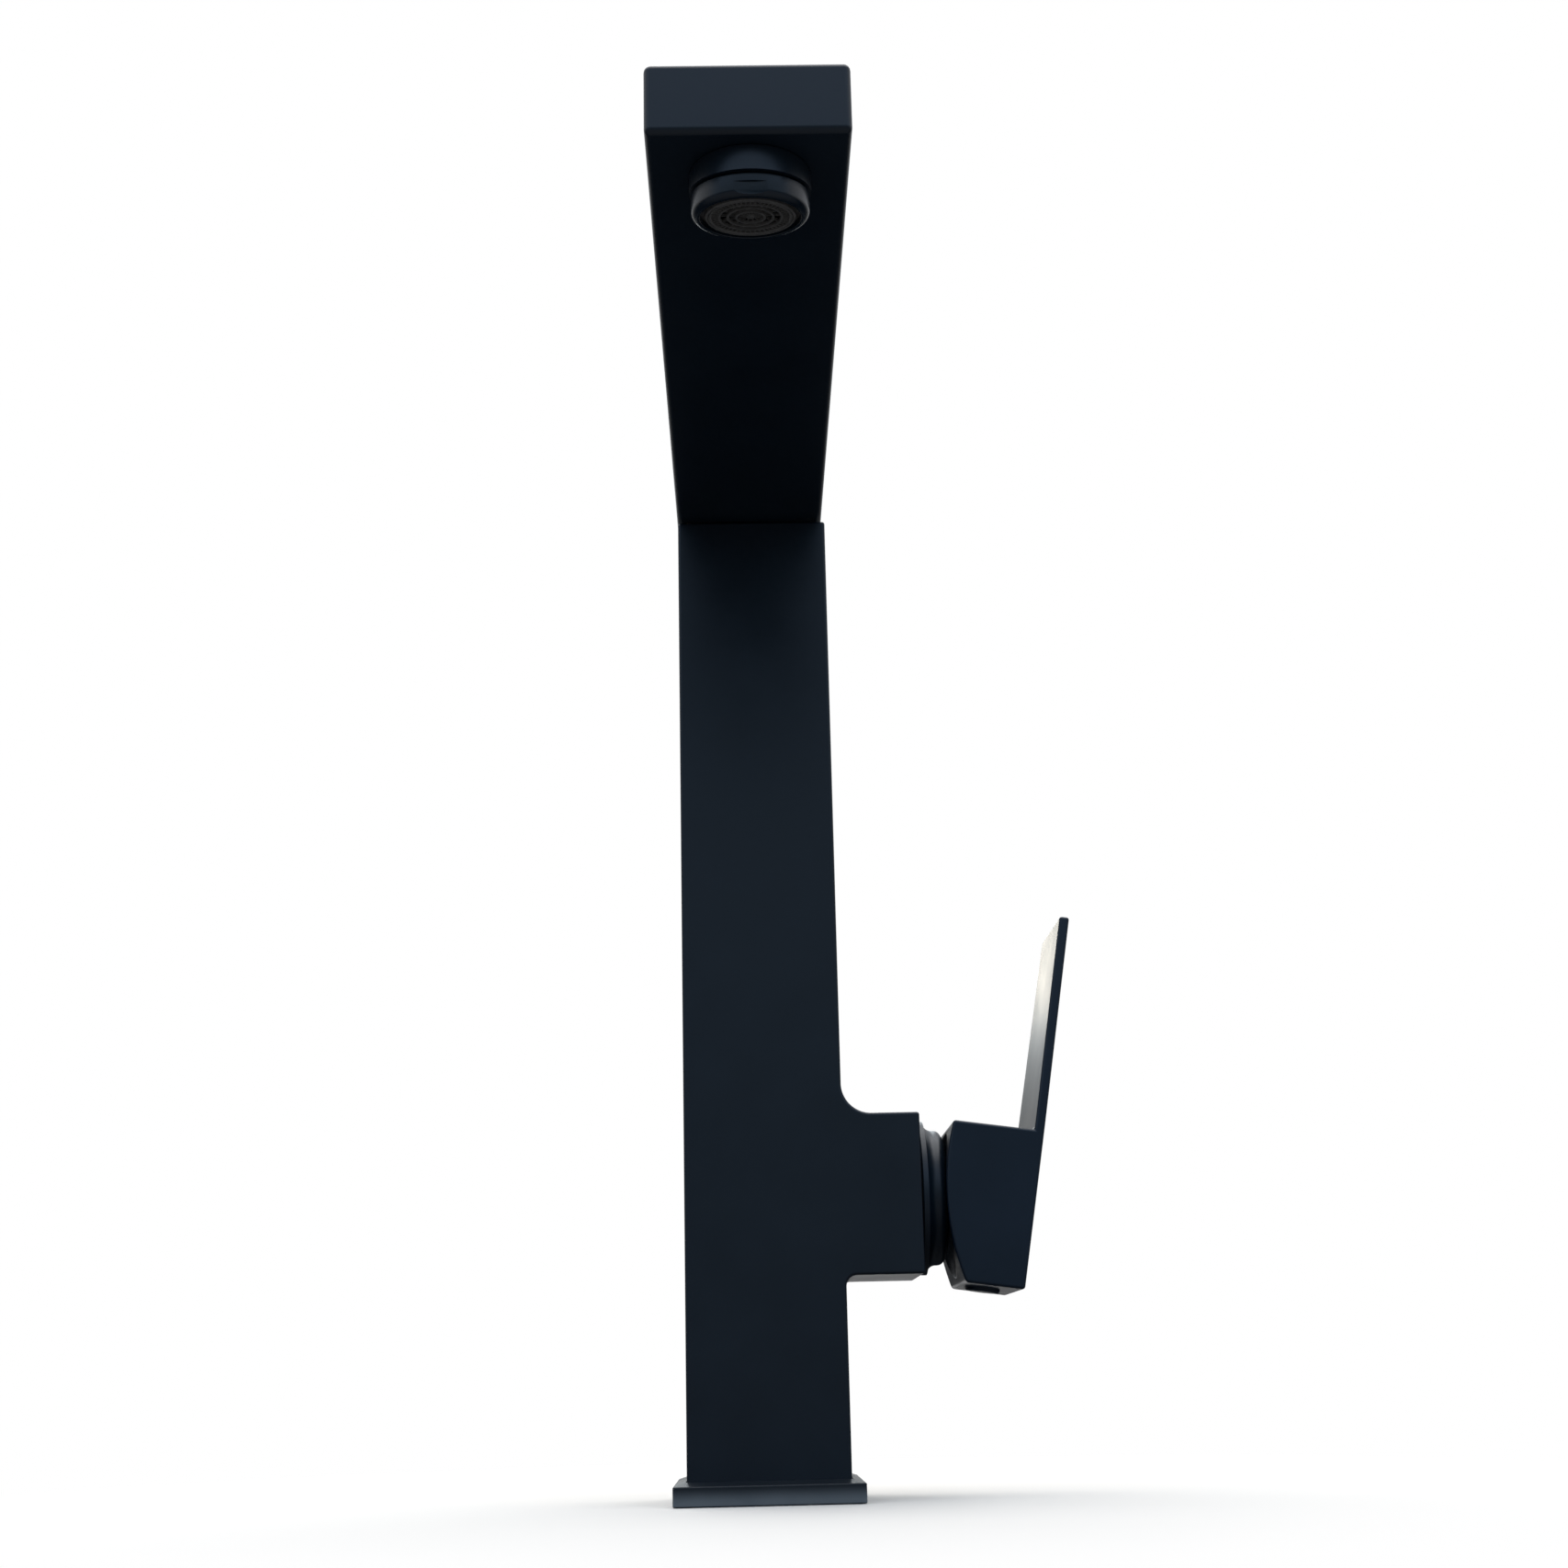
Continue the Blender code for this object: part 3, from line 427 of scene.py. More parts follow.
LACQUER = ((0.0040, 0.0105, 0.0195), (0.0055, 0.0135, 0.0240))
LEVER_LACQUER = ((0.0022, 0.0120, 0.0260), (0.0034, 0.0145, 0.0320))
SATIN_BLACK = satin_black("satin_black_lacquer", LACQUER, (0.31, 0.37))
COLLAR_BLACK = satin_black("collar_black_lacquer", LACQUER, (0.20, 0.27), grain=160.0)
LEVER_BLACK = satin_black("lever_black_lacquer", LEVER_LACQUER, (0.31, 0.37))
print("finishes:", SATIN_BLACK.name, COLLAR_BLACK.name, LEVER_BLACK.name)

# %% [markdown]
# The collar at the spout's tip is turned smooth, so its lacquer is glossier. The plate takes a rougher
# lacquer whose colour carries a pale painted reflection of the floor, strongest at the worktop and gone
# where the plate meets the column.

# %% Plate lacquer
PAINTED_REFLECTION_HEIGHTS = (0.6 * MM, 5.2 * MM)  # heights between which the painted floor reflection thins out
# pale colours that paint in the floor's reflection on the plate's foot
PAINTED_REFLECTION_COLOURS = ((0.200, 0.218, 0.230), (0.265, 0.284, 0.294))
# plain dark lacquer at the top, where the painted reflection is gone
PLATE_TOP_LACQUER = (0.008, 0.013, 0.019)


def plate_lacquer():
    finish = satin_black("plate_black_lacquer", PAINTED_REFLECTION_COLOURS, (0.36, 0.46), grain=60.0)
    tree = finish.node_tree
    shader = tree.nodes["Principled BSDF"]
    # the painted reflection: pale colours standing for the floor mirrored in the foot
    painted_reflection = shader.inputs["Base Color"].links[0].from_socket
    axes = tree.nodes.new("ShaderNodeSeparateXYZ")
    tree.links.new(object_coordinates(tree), axes.inputs["Vector"])
    height = node(tree, "ShaderNodeMapRange", From_Min=PAINTED_REFLECTION_HEIGHTS[0], From_Max=PAINTED_REFLECTION_HEIGHTS[1])
    height.interpolation_type = "SMOOTHSTEP"
    tree.links.new(axes.outputs["Z"], height.inputs["Value"])
    # the painted reflection is strongest at the worktop and fades out upwards
    colour = mix_colours(tree, height.outputs["Result"], painted_reflection, PLATE_TOP_LACQUER)
    tree.links.new(colour, shader.inputs["Base Color"])
    return finish


PLATE_BLACK = plate_lacquer()
print("finish:", PLATE_BLACK.name)

# %% [markdown]
# The other finishes differ in colour, gloss and grain. A stretched grain stands for tool marks: round a
# turned brass or steel piece, and along a drawn copper tube. The aerator's insert has a darker grey plastic
# of its own, and its screen has a steel darkened as painted shade, for the shadow it lies in inside the collar.

# %% Metals, ceramic, rubber and plastics
FINISHES = {
    "satin_black": SATIN_BLACK,
    "brass": make_finish(
        "machined_brass",
        ((0.58, 0.40, 0.16), (0.70, 0.51, 0.24)),
        (0.24, 0.36),
        metallic=1.0,
        grain=220.0,
        bump=(0.000010, 900.0),
        stretch=(1.0, 1.0, 6.0),
    ),
    "copper": make_finish(
        "drawn_copper",
        ((0.62, 0.27, 0.15), (0.78, 0.40, 0.25)),
        (0.22, 0.34),
        metallic=1.0,
        grain=260.0,
        bump=(0.000008, 900.0),
        stretch=(1.0, 1.0, 0.15),
    ),
    "steel": make_finish(
        "turned_steel",
        ((0.42, 0.42, 0.44), (0.56, 0.56, 0.58)),
        (0.22, 0.34),
        metallic=1.0,
        grain=500.0,
        bump=(0.000008, 1200.0),
        stretch=(1.0, 1.0, 5.0),
    ),
    "ceramic": make_finish(
        "lapped_ceramic",
        ((0.74, 0.73, 0.69), (0.82, 0.81, 0.77)),
        (0.08, 0.16),
        grain=300.0,
        bump=(0.000003, 2500.0),
    ),
    "rubber": make_finish(
        "seal_rubber",
        ((0.010, 0.010, 0.010), (0.022, 0.022, 0.022)),
        (0.55, 0.75),
        grain=900.0,
        bump=(0.000020, 1600.0),
    ),
    "white_plastic": make_finish(
        "white_acetal",
        ((0.70, 0.70, 0.67), (0.78, 0.78, 0.75)),
        (0.35, 0.50),
        grain=700.0,
        bump=(0.000010, 1500.0),
    ),
    "grey_plastic": make_finish(
        "grey_acetal",
        ((0.105, 0.098, 0.088), (0.140, 0.132, 0.120)),
        (0.30, 0.45),
        grain=700.0,
        bump=(0.000010, 1500.0),
    ),
}
SMOKE_PLASTIC = make_finish(
    "smoke_acetal",
    ((0.115, 0.107, 0.098), (0.160, 0.150, 0.138)),
    (0.28, 0.42),
    grain=900.0,
    bump=(0.000008, 1800.0),
)
# the screen's steel is darkened as painted shade, for the shadow it lies in inside the collar
SHADED_SCREEN_STEEL = make_finish(
    "shaded_screen_steel",
    ((0.050, 0.050, 0.052), (0.080, 0.080, 0.082)),
    (0.30, 0.45),
    metallic=1.0,
    grain=900.0,
    bump=(0.000008, 1800.0),
)
print("finishes:", sorted(FINISHES))

# %% [markdown]
# The solids that stay as designed take a finish by their material slot, so that nothing is left plain.

# %% Dress the solids that stay
SLOTS = {part["node"]: part["material_slot"] for part in frame["record"]["subparts"]}
for name, solid in frame["nodes"].items():
    solid.data.materials.clear()
    solid.data.materials.append(FINISHES[SLOTS[name]])
print("dressed:", len(SLOTS), "solids")

# %% [markdown]
# ## Measures
#
# The design's own boxes give the sizes; only roundings and wall thicknesses are named here.

# %% Measures from the design
COLUMN_LOW, COLUMN_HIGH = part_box("column_body")
PLATE_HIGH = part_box("base_plate")[1]
SPOUT_LOW, SPOUT_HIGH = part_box("spout_bar")
NECK_LOW, NECK_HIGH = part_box("dome_cap")
HALF = -COLUMN_LOW.x
HOUSING_END = COLUMN_HIGH.x
VALVE_Z = (NECK_LOW.z + NECK_HIGH.z) / 2
PIVOT = Vector([joint for joint in frame["joints"] if joint["name"] == "flow_tilt"][0]["pos_m"])
print("column half width", round(HALF, 5), "valve height", round(VALVE_Z, 5))

# %% [markdown]
# ## The column
#
# The column and the valve housing are one hollow casting. From the front it is a tall bar with a block on
# its right, blended by a large radius above and a small one below. A flat outline pushed through the
# width gives that at once. The bores are cut next, and one bevel then rounds every edge alike, as
# polishing does before the lacquer goes on.

# %% Column outline and extrusion
EDGE = 0.8 * MM
FILLET_ABOVE = 8.5 * MM
FILLET_BELOW = 3.0 * MM
BODY_WALL = 2.5 * MM
VALVE_BORE = 17.6 * MM
NUT_BORE = 19.3 * MM
NUT_SEAT = 36.2 * MM  # where the wider bore for the nut begins
SCREW_Z = 277.0 * MM
SCREW_BORE = 2.8 * MM


def arc(centre, radius, first, last, steps):
    """Points on an arc in the XZ plane, from one angle to another in degrees."""
    angles = [math.radians(first + (last - first) * i / steps) for i in range(steps + 1)]
    return [(centre[0] + radius * math.cos(a), centre[1] + radius * math.sin(a)) for a in angles]


def upright_prism(name, outline, low_y, high_y):
    """Pushes an (x, z) outline through the depth between two y levels."""
    bm = bmesh.new()
    front = bm.faces.new([bm.verts.new((x, low_y, z)) for x, z in outline])
    made = bmesh.ops.extrude_face_region(bm, geom=[front])
    moved = [v for v in made["geom"] if isinstance(v, bmesh.types.BMVert)]
    bmesh.ops.translate(bm, vec=(0.0, high_y - low_y, 0.0), verts=moved)
    bmesh.ops.recalc_face_normals(bm, faces=bm.faces)
    return object_from_bmesh(name, bm)


def block(name, low, high):
    """A box between two corners."""
    bm = bmesh.new()
    size = Vector(high) - Vector(low)
    bmesh.ops.create_cube(bm, size=1.0)
    bmesh.ops.transform(bm, matrix=Matrix.Diagonal((*size, 1.0)), verts=bm.verts)
    bmesh.ops.translate(bm, vec=(Vector(low) + Vector(high)) / 2, verts=bm.verts)
    return object_from_bmesh(name, bm)


def bar(name, radius, start, end, sides=96):
    """A round bar from one point to another."""
    start, end = Vector(start), Vector(end)
    bm = bmesh.new()
    place = Matrix.Translation((start + end) / 2) @ (end - start).to_track_quat("Z", "Y").to_matrix().to_4x4()
    depth = (end - start).length
    bmesh.ops.create_cone(
        bm, cap_ends=True, segments=sides, radius1=radius, radius2=radius, depth=depth, matrix=place
    )
    return object_from_bmesh(name, bm)


def carve(obj, *cutters, operation="DIFFERENCE"):
    """Cuts shapes out of an object, or joins them to it, and removes them."""
    for cutter in cutters:
        modifier = obj.modifiers.new("carve", "BOOLEAN")
        modifier.operation = operation
        modifier.solver = "EXACT"
        modifier.object = cutter
    obj = bake(obj)
    for cutter in cutters:
        bpy.data.objects.remove(cutter)
    return obj


def round_edges(obj, radius, segments=4, limit=35.0):
    """Rounds sharp edges and shades the result as flats joined by curves."""
    bevel = obj.modifiers.new("rounding", "BEVEL")
    bevel.width = radius
    bevel.segments = segments
    bevel.limit_method = "ANGLE"
    bevel.angle_limit = math.radians(limit)
    bevel.use_clamp_overlap = False
    return even_shading(bake(obj))


# %% Column casting
def column_casting():
    low, high = COLUMN_LOW.z, COLUMN_HIGH.z
    under = (HALF + FILLET_BELOW, VALVE_Z - HALF - FILLET_BELOW)
    over = (HALF + FILLET_ABOVE, VALVE_Z + HALF + FILLET_ABOVE)
    outline = [
        (-HALF, low),
        (HALF, low),
        *arc(under, FILLET_BELOW, 180.0, 90.0, 12),
        (HOUSING_END, VALVE_Z - HALF),
        (HOUSING_END, VALVE_Z + HALF),
        *arc(over, FILLET_ABOVE, 270.0, 180.0, 20),
        (HALF, high),
        (-HALF, high),
    ]
    casting = round_edges(upright_prism("column_casting", outline, -HALF, HALF), EDGE)
    inside = HALF - BODY_WALL
    bore = block("bore", (-inside, -inside, low - 0.01), (inside, inside, high + 0.01))
    beyond = HOUSING_END + 0.01
    valve_bore = bar("valve_bore", VALVE_BORE, (0.0, 0.0, VALVE_Z), (beyond, 0.0, VALVE_Z))
    nut_bore = bar("nut_bore", NUT_BORE, (NUT_SEAT, 0.0, VALVE_Z), (beyond, 0.0, VALVE_Z))
    screw_hole = bar("screw_hole", SCREW_BORE, (0.0, 0.015, SCREW_Z), (0.0, 0.03, SCREW_Z), sides=48)
    return even_shading(carve(casting, bore, valve_bore, nut_bore, screw_hole))


finish_piece(column_casting(), "tap_body", SATIN_BLACK, ["column_body"])

# %% [markdown]
# ## The base plate
#
# A square cover plate hides the worktop hole. Its top falls slightly to the rim, so that water runs off.
# Three square outlines, one above another, give the block and its sloping top; the hole for the column and
# the groove for the gasket are cut last, so that the bevel rounds only the outside.

# %% Base plate
PLATE_SLOPE = 1.2 * MM
PLATE_EDGE = 0.3 * MM
FIT = 0.3 * MM
GASKET_SEAT = 1.8 * MM


def base_rosette():
    half, top = PLATE_HIGH.x, PLATE_HIGH.z
    bm = bmesh.new()
    rings = []
    for size, level in ((half, 0.0), (half, top - PLATE_SLOPE), (HALF, top)):
        corners = ((-size, -size), (size, -size), (size, size), (-size, size))
        rings.append([bm.verts.new((x, y, level)) for x, y in corners])
    bm.faces.new(list(reversed(rings[0])))
    bm.faces.new(rings[2])
    for lower, upper in zip(rings, rings[1:]):
        for i in range(4):
            j = (i + 1) % 4
            bm.faces.new((lower[i], lower[j], upper[j], upper[i]))
    plate = round_edges(object_from_bmesh("base_rosette", bm), PLATE_EDGE, limit=50.0)
    hole = HALF + FIT
    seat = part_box("base_gasket")[1].x + FIT
    opening = block("opening", (-hole, -hole, -0.01), (hole, hole, 0.02))
    groove = block("groove", (-seat, -seat, -0.01), (seat, seat, GASKET_SEAT))
    return even_shading(carve(plate, opening, groove))


finish_piece(base_rosette(), "tap_body", PLATE_BLACK, ["base_plate"])

# %% [markdown]
# ## The neck
#
# Between the housing and the lever sits a low dome, screwed onto the valve's nut. It is a turned piece, so
# its section is drawn once and carried round the valve's axis. Its foot flares out to meet the square
# housing. Above the waist it has a full shoulder, so that little of the gap behind the lever shows.

# %% Turned shapes
ALONG_X = Matrix.Rotation(math.pi / 2, 4, "Y")
SHOULDER_POWER = 0.667  # 1 would be a plain ellipse, and less is fuller


def turned(name, section, place, steps=128):
    """Carries a closed section of (radius, height) points round an axis."""
    bm = bmesh.new()
    rings = []
    for i in range(steps):
        turn = math.tau * i / steps
        across, along = math.cos(turn), math.sin(turn)
        rings.append([bm.verts.new((r * across, r * along, height)) for r, height in section])
    count = len(section)
    for i in range(steps):
        first, second = rings[i], rings[(i + 1) % steps]
        for j in range(count):
            k = (j + 1) % count
            bm.faces.new((first[j], second[j], second[k], first[k]))
    bmesh.ops.transform(bm, matrix=place, verts=bm.verts)
    bmesh.ops.recalc_face_normals(bm, faces=bm.faces)
    return object_from_bmesh(name, bm)


def square_shoulder(foot, wide, tall, steps=16):
    """From the widest point in and up to the top, on an ellipse with a full shoulder."""
    points = []
    for i in range(steps + 1):
        angle = math.pi / 2 * i / steps
        out = wide * math.cos(angle) ** SHOULDER_POWER
        up = tall * math.sin(angle) ** SHOULDER_POWER
        points.append((foot[0] + out, foot[1] + up))
    return points


# %% Neck dome
NECK_EYE = 8.6 * MM  # radius of the hole that the lever's stem comes through
NECK_SHOULDER = 49.3 * MM
NECK_WAIST = 19.3 * MM
NECK_WALL = 3.4 * MM
INNER_SHOULDER = 2.2 * MM


def neck_dome():
    seat, tip = NECK_LOW.x, NECK_HIGH.x
    foot = (NECK_HIGH.z - NECK_LOW.z) / 2
    flare, edge = foot - NECK_WAIST, 0.3 * MM
    middle = (NECK_EYE, NECK_SHOULDER)
    section = [
        (foot - edge, seat),
        (foot, seat + edge),
        *reversed(arc((foot, NECK_SHOULDER), flare, 180.0, 270.0, 16)),
        *square_shoulder(middle, NECK_WAIST - NECK_EYE, tip - NECK_SHOULDER, 24),
        *reversed(square_shoulder(middle, NECK_WAIST - NECK_WALL - NECK_EYE, INNER_SHOULDER)),
        (NECK_WAIST - NECK_WALL, seat),
    ]
    place = Matrix.Translation((0.0, 0.0, VALVE_Z)) @ ALONG_X
    return smooth(turned("neck_dome", section, place))


finish_piece(neck_dome(), "tap_body", SATIN_BLACK, ["dome_cap"])

# %% [markdown]
# ## The spout
#
# The spout is a flat hollow bar that swivels on the column. It is made as a box with rounded edges, then
# hollowed and drilled for its stem and its aerator. Rounding first and drilling second leaves the holes
# crisp, as a drill does.

# %% Spout bar
SPOUT_EDGE = 1.5 * MM
SPOUT_WALL = 2.0 * MM
FLANGE_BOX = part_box("aerator_nipple")
AERATOR_X = (FLANGE_BOX[0].x + FLANGE_BOX[1].x) / 2
AERATOR_Y = (FLANGE_BOX[0].y + FLANGE_BOX[1].y) / 2
UNDERSIDE = SPOUT_LOW.z
STEM_HOLE = 12.2 * MM
NIPPLE_HOLE = 10.4 * MM


def spout_arm():
    arm = round_edges(block("spout_arm", SPOUT_LOW, SPOUT_HIGH), SPOUT_EDGE, segments=5)
    wall = Vector((SPOUT_WALL, SPOUT_WALL, SPOUT_WALL))
    waterway = block("waterway", SPOUT_LOW + wall, SPOUT_HIGH - wall)
    below, above = UNDERSIDE - 0.005, UNDERSIDE + 0.005
    stem_hole = bar("stem_hole", STEM_HOLE, (0.0, 0.0, below), (0.0, 0.0, above))
    x, y = AERATOR_X, AERATOR_Y
    nipple_hole = bar("nipple_hole", NIPPLE_HOLE, (x, y, below), (x, y, above))
    return even_shading(carve(arm, waterway, stem_hole, nipple_hole))


finish_piece(spout_arm(), "spout", SATIN_BLACK, ["spout_bar"])

# %% [markdown]
# ## The aerator's shells
#
# The aerator is a stack: a flanged ring fixed in the spout, and a collar that screws onto it and carries
# the mixing insert. The outlet leans back a little towards the column, so that the water lands in the
# basin's middle. So the flange is a wedge: level above, and cut on the tilt below. Everything under the cut
# is drawn on the tilted axis. The collar's lip rolls inwards, and two flats, front and back, are for a
# spanner.

# %% Aerator flange
OUTLET_TILT = math.radians(8.0)
AERATOR_AXIS = Matrix.Translation((AERATOR_X, AERATOR_Y, UNDERSIDE)) @ Matrix.Rotation(OUTLET_TILT, 4, "X")
FLANGE_RADIUS = FLANGE_BOX[1].x - AERATOR_X
FLANGE_END = -4.2 * MM  # along the tilted axis, as all heights in the aerator
NECK_END = -5.5 * MM
NECK_RADIUS = 11.4 * MM
TUBE_RADIUS = 10.1 * MM
INSERT_BORE = 8.6 * MM


def aerator_flange():
    x, y = AERATOR_X, AERATOR_Y
    low, high = (x, y, UNDERSIDE - 0.009), (x, y, UNDERSIDE - FIT)
    flange = bar("aerator_flange", FLANGE_RADIUS, low, high, sides=128)
    tube = bar("flange_tube", TUBE_RADIUS, (x, y, UNDERSIDE - 0.001), (x, y, UNDERSIDE + 0.003))
    below = block("below", (-0.02, -0.02, -0.03), (0.02, 0.02, FLANGE_END))
    neck = bar("neck", NECK_RADIUS, (0.0, 0.0, FLANGE_END + 0.002), (0.0, 0.0, NECK_END))
    bore = bar("bore", INSERT_BORE, (0.0, 0.0, -0.02), (0.0, 0.0, 0.02))
    for tilted in (below, neck, bore):
        tilted.data.transform(AERATOR_AXIS)
    flange = carve(carve(flange, below), tube, neck, operation="UNION")
    return smooth(carve(flange, bore), 28.0)


finish_piece(aerator_flange(), "spout", SATIN_BLACK, ["aerator_nipple"])

# %% Aerator collar
COLLAR_RADIUS = 13.0 * MM
COLLAR_WALL = 1.2 * MM
COLLAR_MOUTH = 11.1 * MM
COLLAR_BOTTOM = -9.6 * MM
COLLAR_SHELF = -8.2 * MM
LIP = 1.5 * MM
FLAT_DEPTH = 0.5 * MM
FLAT_HEIGHT = 3.3 * MM


def aerator_collar():
    edge, top = 0.25 * MM, FLANGE_END - FIT
    section = [
        *arc((COLLAR_RADIUS - edge, top - edge), edge, 90.0, 0.0, 6),
        *arc((COLLAR_RADIUS - LIP, COLLAR_BOTTOM + LIP), LIP, 0.0, -90.0, 16),
        *arc((COLLAR_MOUTH + edge, COLLAR_BOTTOM + edge), edge, -90.0, -180.0, 6),
        (COLLAR_MOUTH, COLLAR_SHELF),
        (COLLAR_RADIUS - COLLAR_WALL, COLLAR_SHELF),
        (COLLAR_RADIUS - COLLAR_WALL, top),
    ]
    collar = turned("aerator_collar", section, Matrix.Identity(4))
    reach = COLLAR_RADIUS - FLAT_DEPTH
    low, high = COLLAR_BOTTOM - 0.001, COLLAR_BOTTOM + FLAT_HEIGHT
    front = block("front_flat", (-0.01, -0.02, low), (0.01, -reach, high))
    back = block("back_flat", (-0.01, reach, low), (0.01, 0.02, high))
    collar = carve(collar, front, back)
    collar.data.transform(AERATOR_AXIS)
    return smooth(collar, 28.0)


finish_piece(aerator_collar(), "spout", COLLAR_BLACK, ["aerator_housing"])

# %% [markdown]
# ## Repeated work by Geometry Nodes
#
# The insert in the collar is a set of rings tied by fine ribs, and above it lies a woven screen. Nobody
# would draw each rib: a rule places them. Geometry Nodes states such a rule once, with its counts and
# sizes as named inputs. The next helpers build a node tree, wire it, and turn its result into a plain mesh.

# %% Geometry Nodes helpers
def new_rule(name, **inputs):
    """An empty node tree with a geometry in and out, and named number inputs."""
    rule = bpy.data.node_groups.new(name, "GeometryNodeTree")
    face = rule.interface
    face.new_socket("Geometry", in_out="INPUT", socket_type="NodeSocketGeometry")
    face.new_socket("Geometry", in_out="OUTPUT", socket_type="NodeSocketGeometry")
    for label, value in inputs.items():
        kind = "NodeSocketInt" if isinstance(value, int) else "NodeSocketFloat"
        socket = face.new_socket(label, in_out="INPUT", socket_type=kind)
        socket.default_value = value
    start = rule.nodes.new("NodeGroupInput")
    end = rule.nodes.new("NodeGroupOutput")
    return rule, start.outputs, end.inputs


def geo(rule, kind, wires=None, **settings):
    """Adds a node to a rule. Wires link outputs to its inputs, and settings are plain values."""
    made = rule.nodes.new(kind)
    for key, value in settings.items():
        if hasattr(made, key):
            setattr(made, key, value)
        else:
            made.inputs[key.replace("_", " ")].default_value = value
    for key, source in (wires or {}).items():
        rule.links.new(source, made.inputs[key])
    return made


def calculate(rule, operation, first, second=0.0):
    """One sum on numbers or on other nodes' outputs."""
    made = rule.nodes.new("ShaderNodeMath")
    made.operation = operation
    for slot, value in enumerate((first, second)):
        if isinstance(value, bpy.types.NodeSocket):
            rule.links.new(value, made.inputs[slot])
        else:
            made.inputs[slot].default_value = value
    return made.outputs["Value"]


def close_rule(rule, geometry, end, finish):
    """Every rule ends alike: instances become real faces, and they take their finish."""
    real = geo(rule, "GeometryNodeRealizeInstances", {"Geometry": geometry})
    dressed = geo(rule, "GeometryNodeSetMaterial", {"Geometry": real.outputs["Geometry"]}, Material=finish)
    rule.links.new(dressed.outputs["Geometry"], end["Geometry"])


def grow(name, rule, points=((0.0, 0.0, 0.0),), **values):
    """Runs a rule on some starting points and keeps the result as a plain mesh."""
    mesh = bpy.data.meshes.new(name)
    mesh.from_pydata(points, [], [])
    obj = new_object(name, mesh)
    modifier = obj.modifiers.new("rule", "NODES")
    modifier.node_group = rule
    for item in rule.interface.items_tree:
        if item.in_out == "INPUT" and item.name in values:
            modifier[item.identifier] = values[item.name]
    return bake(obj)


print("rules so far:", len(bpy.data.node_groups))

# %% [markdown]
# The first rule draws concentric rings. One unit circle is placed at a point for every ring and scaled to
# its radius, and a small square section is then run along all of them. A second rule sets ribs out like the
# hours on a clock: every rib is one narrow block, moved out to its radius and turned by its number.

# %% Rules for rings and ribs
def rings_rule(finish):
    rule, start, end = new_rule("rings", Count=4, First=0.001, Step=0.002, Width=0.0005)
    line = geo(rule, "GeometryNodeMeshLine", {"Count": start["Count"]}, Offset=(0.0, 0.0, 0.0))
    number = geo(rule, "GeometryNodeInputIndex").outputs["Index"]
    radius = calculate(rule, "ADD", start["First"], calculate(rule, "MULTIPLY", number, start["Step"]))
    circle = geo(rule, "GeometryNodeCurvePrimitiveCircle", Resolution=72, Radius=1.0)
    wires = {"Points": line.outputs["Mesh"], "Instance": circle.outputs["Curve"], "Scale": radius}
    placed = geo(rule, "GeometryNodeInstanceOnPoints", wires)
    real = geo(rule, "GeometryNodeRealizeInstances", {"Geometry": placed.outputs["Instances"]})
    section = geo(
        rule, "GeometryNodeCurvePrimitiveQuadrilateral", {"Width": start["Width"], "Height": start["Width"]}
    )
    wires = {"Curve": real.outputs["Geometry"], "Profile Curve": section.outputs["Curve"]}
    tubes = geo(rule, "GeometryNodeCurveToMesh", wires)
    close_rule(rule, tubes.outputs["Mesh"], end, finish)
    return rule


def ribs_rule(finish):
    rule, start, end = new_rule("ribs", Count=48, From=0.001, To=0.002, Width=0.0003, Depth=0.0008)
    line = geo(rule, "GeometryNodeMeshLine", {"Count": start["Count"]}, Offset=(0.0, 0.0, 0.0))
    length = calculate(rule, "SUBTRACT", start["To"], start["From"])
    middle = calculate(rule, "DIVIDE", calculate(rule, "ADD", start["To"], start["From"]), 2.0)
    size = geo(rule, "ShaderNodeCombineXYZ", {"X": length, "Y": start["Width"], "Z": start["Depth"]})
    rib = geo(rule, "GeometryNodeMeshCube", {"Size": size.outputs["Vector"]})
    shift = geo(rule, "ShaderNodeCombineXYZ", {"X": middle})
    wires = {"Geometry": rib.outputs["Mesh"], "Translation": shift.outputs["Vector"]}
    moved = geo(rule, "GeometryNodeTransform", wires)
    number = geo(rule, "GeometryNodeInputIndex").outputs["Index"]
    step = calculate(rule, "DIVIDE", math.tau, start["Count"])
    turn = geo(rule, "ShaderNodeCombineXYZ", {"Z": calculate(rule, "MULTIPLY", number, step)})
    wires = {
        "Points": line.outputs["Mesh"],
        "Instance": moved.outputs["Geometry"],
        "Rotation": turn.outputs["Vector"],
    }
    placed = geo(rule, "GeometryNodeInstanceOnPoints", wires)
    close_rule(rule, placed.outputs["Instances"], end, finish)
    return rule


RINGS = rings_rule(SMOKE_PLASTIC)
RIBS = ribs_rule(SMOKE_PLASTIC)
print("rules:", RINGS.name, RIBS.name)

# %% [markdown]
# ## The aerator's insert
#
# The insert's rim is turned, with a fine groove in its face. The rings and ribs are grown inside it: close
# ribs in the outer lane, wider ones within, and a small button in the middle.

# %% Insert
INSERT_FACE = COLLAR_BOTTOM + 0.1 * MM
LANE = 1.9 * MM


def raised(obj, height):
    """Moves grown parts from the origin to a height on the aerator's axis."""
    obj.data.transform(AERATOR_AXIS @ Matrix.Translation((0.0, 0.0, height)))
    return obj


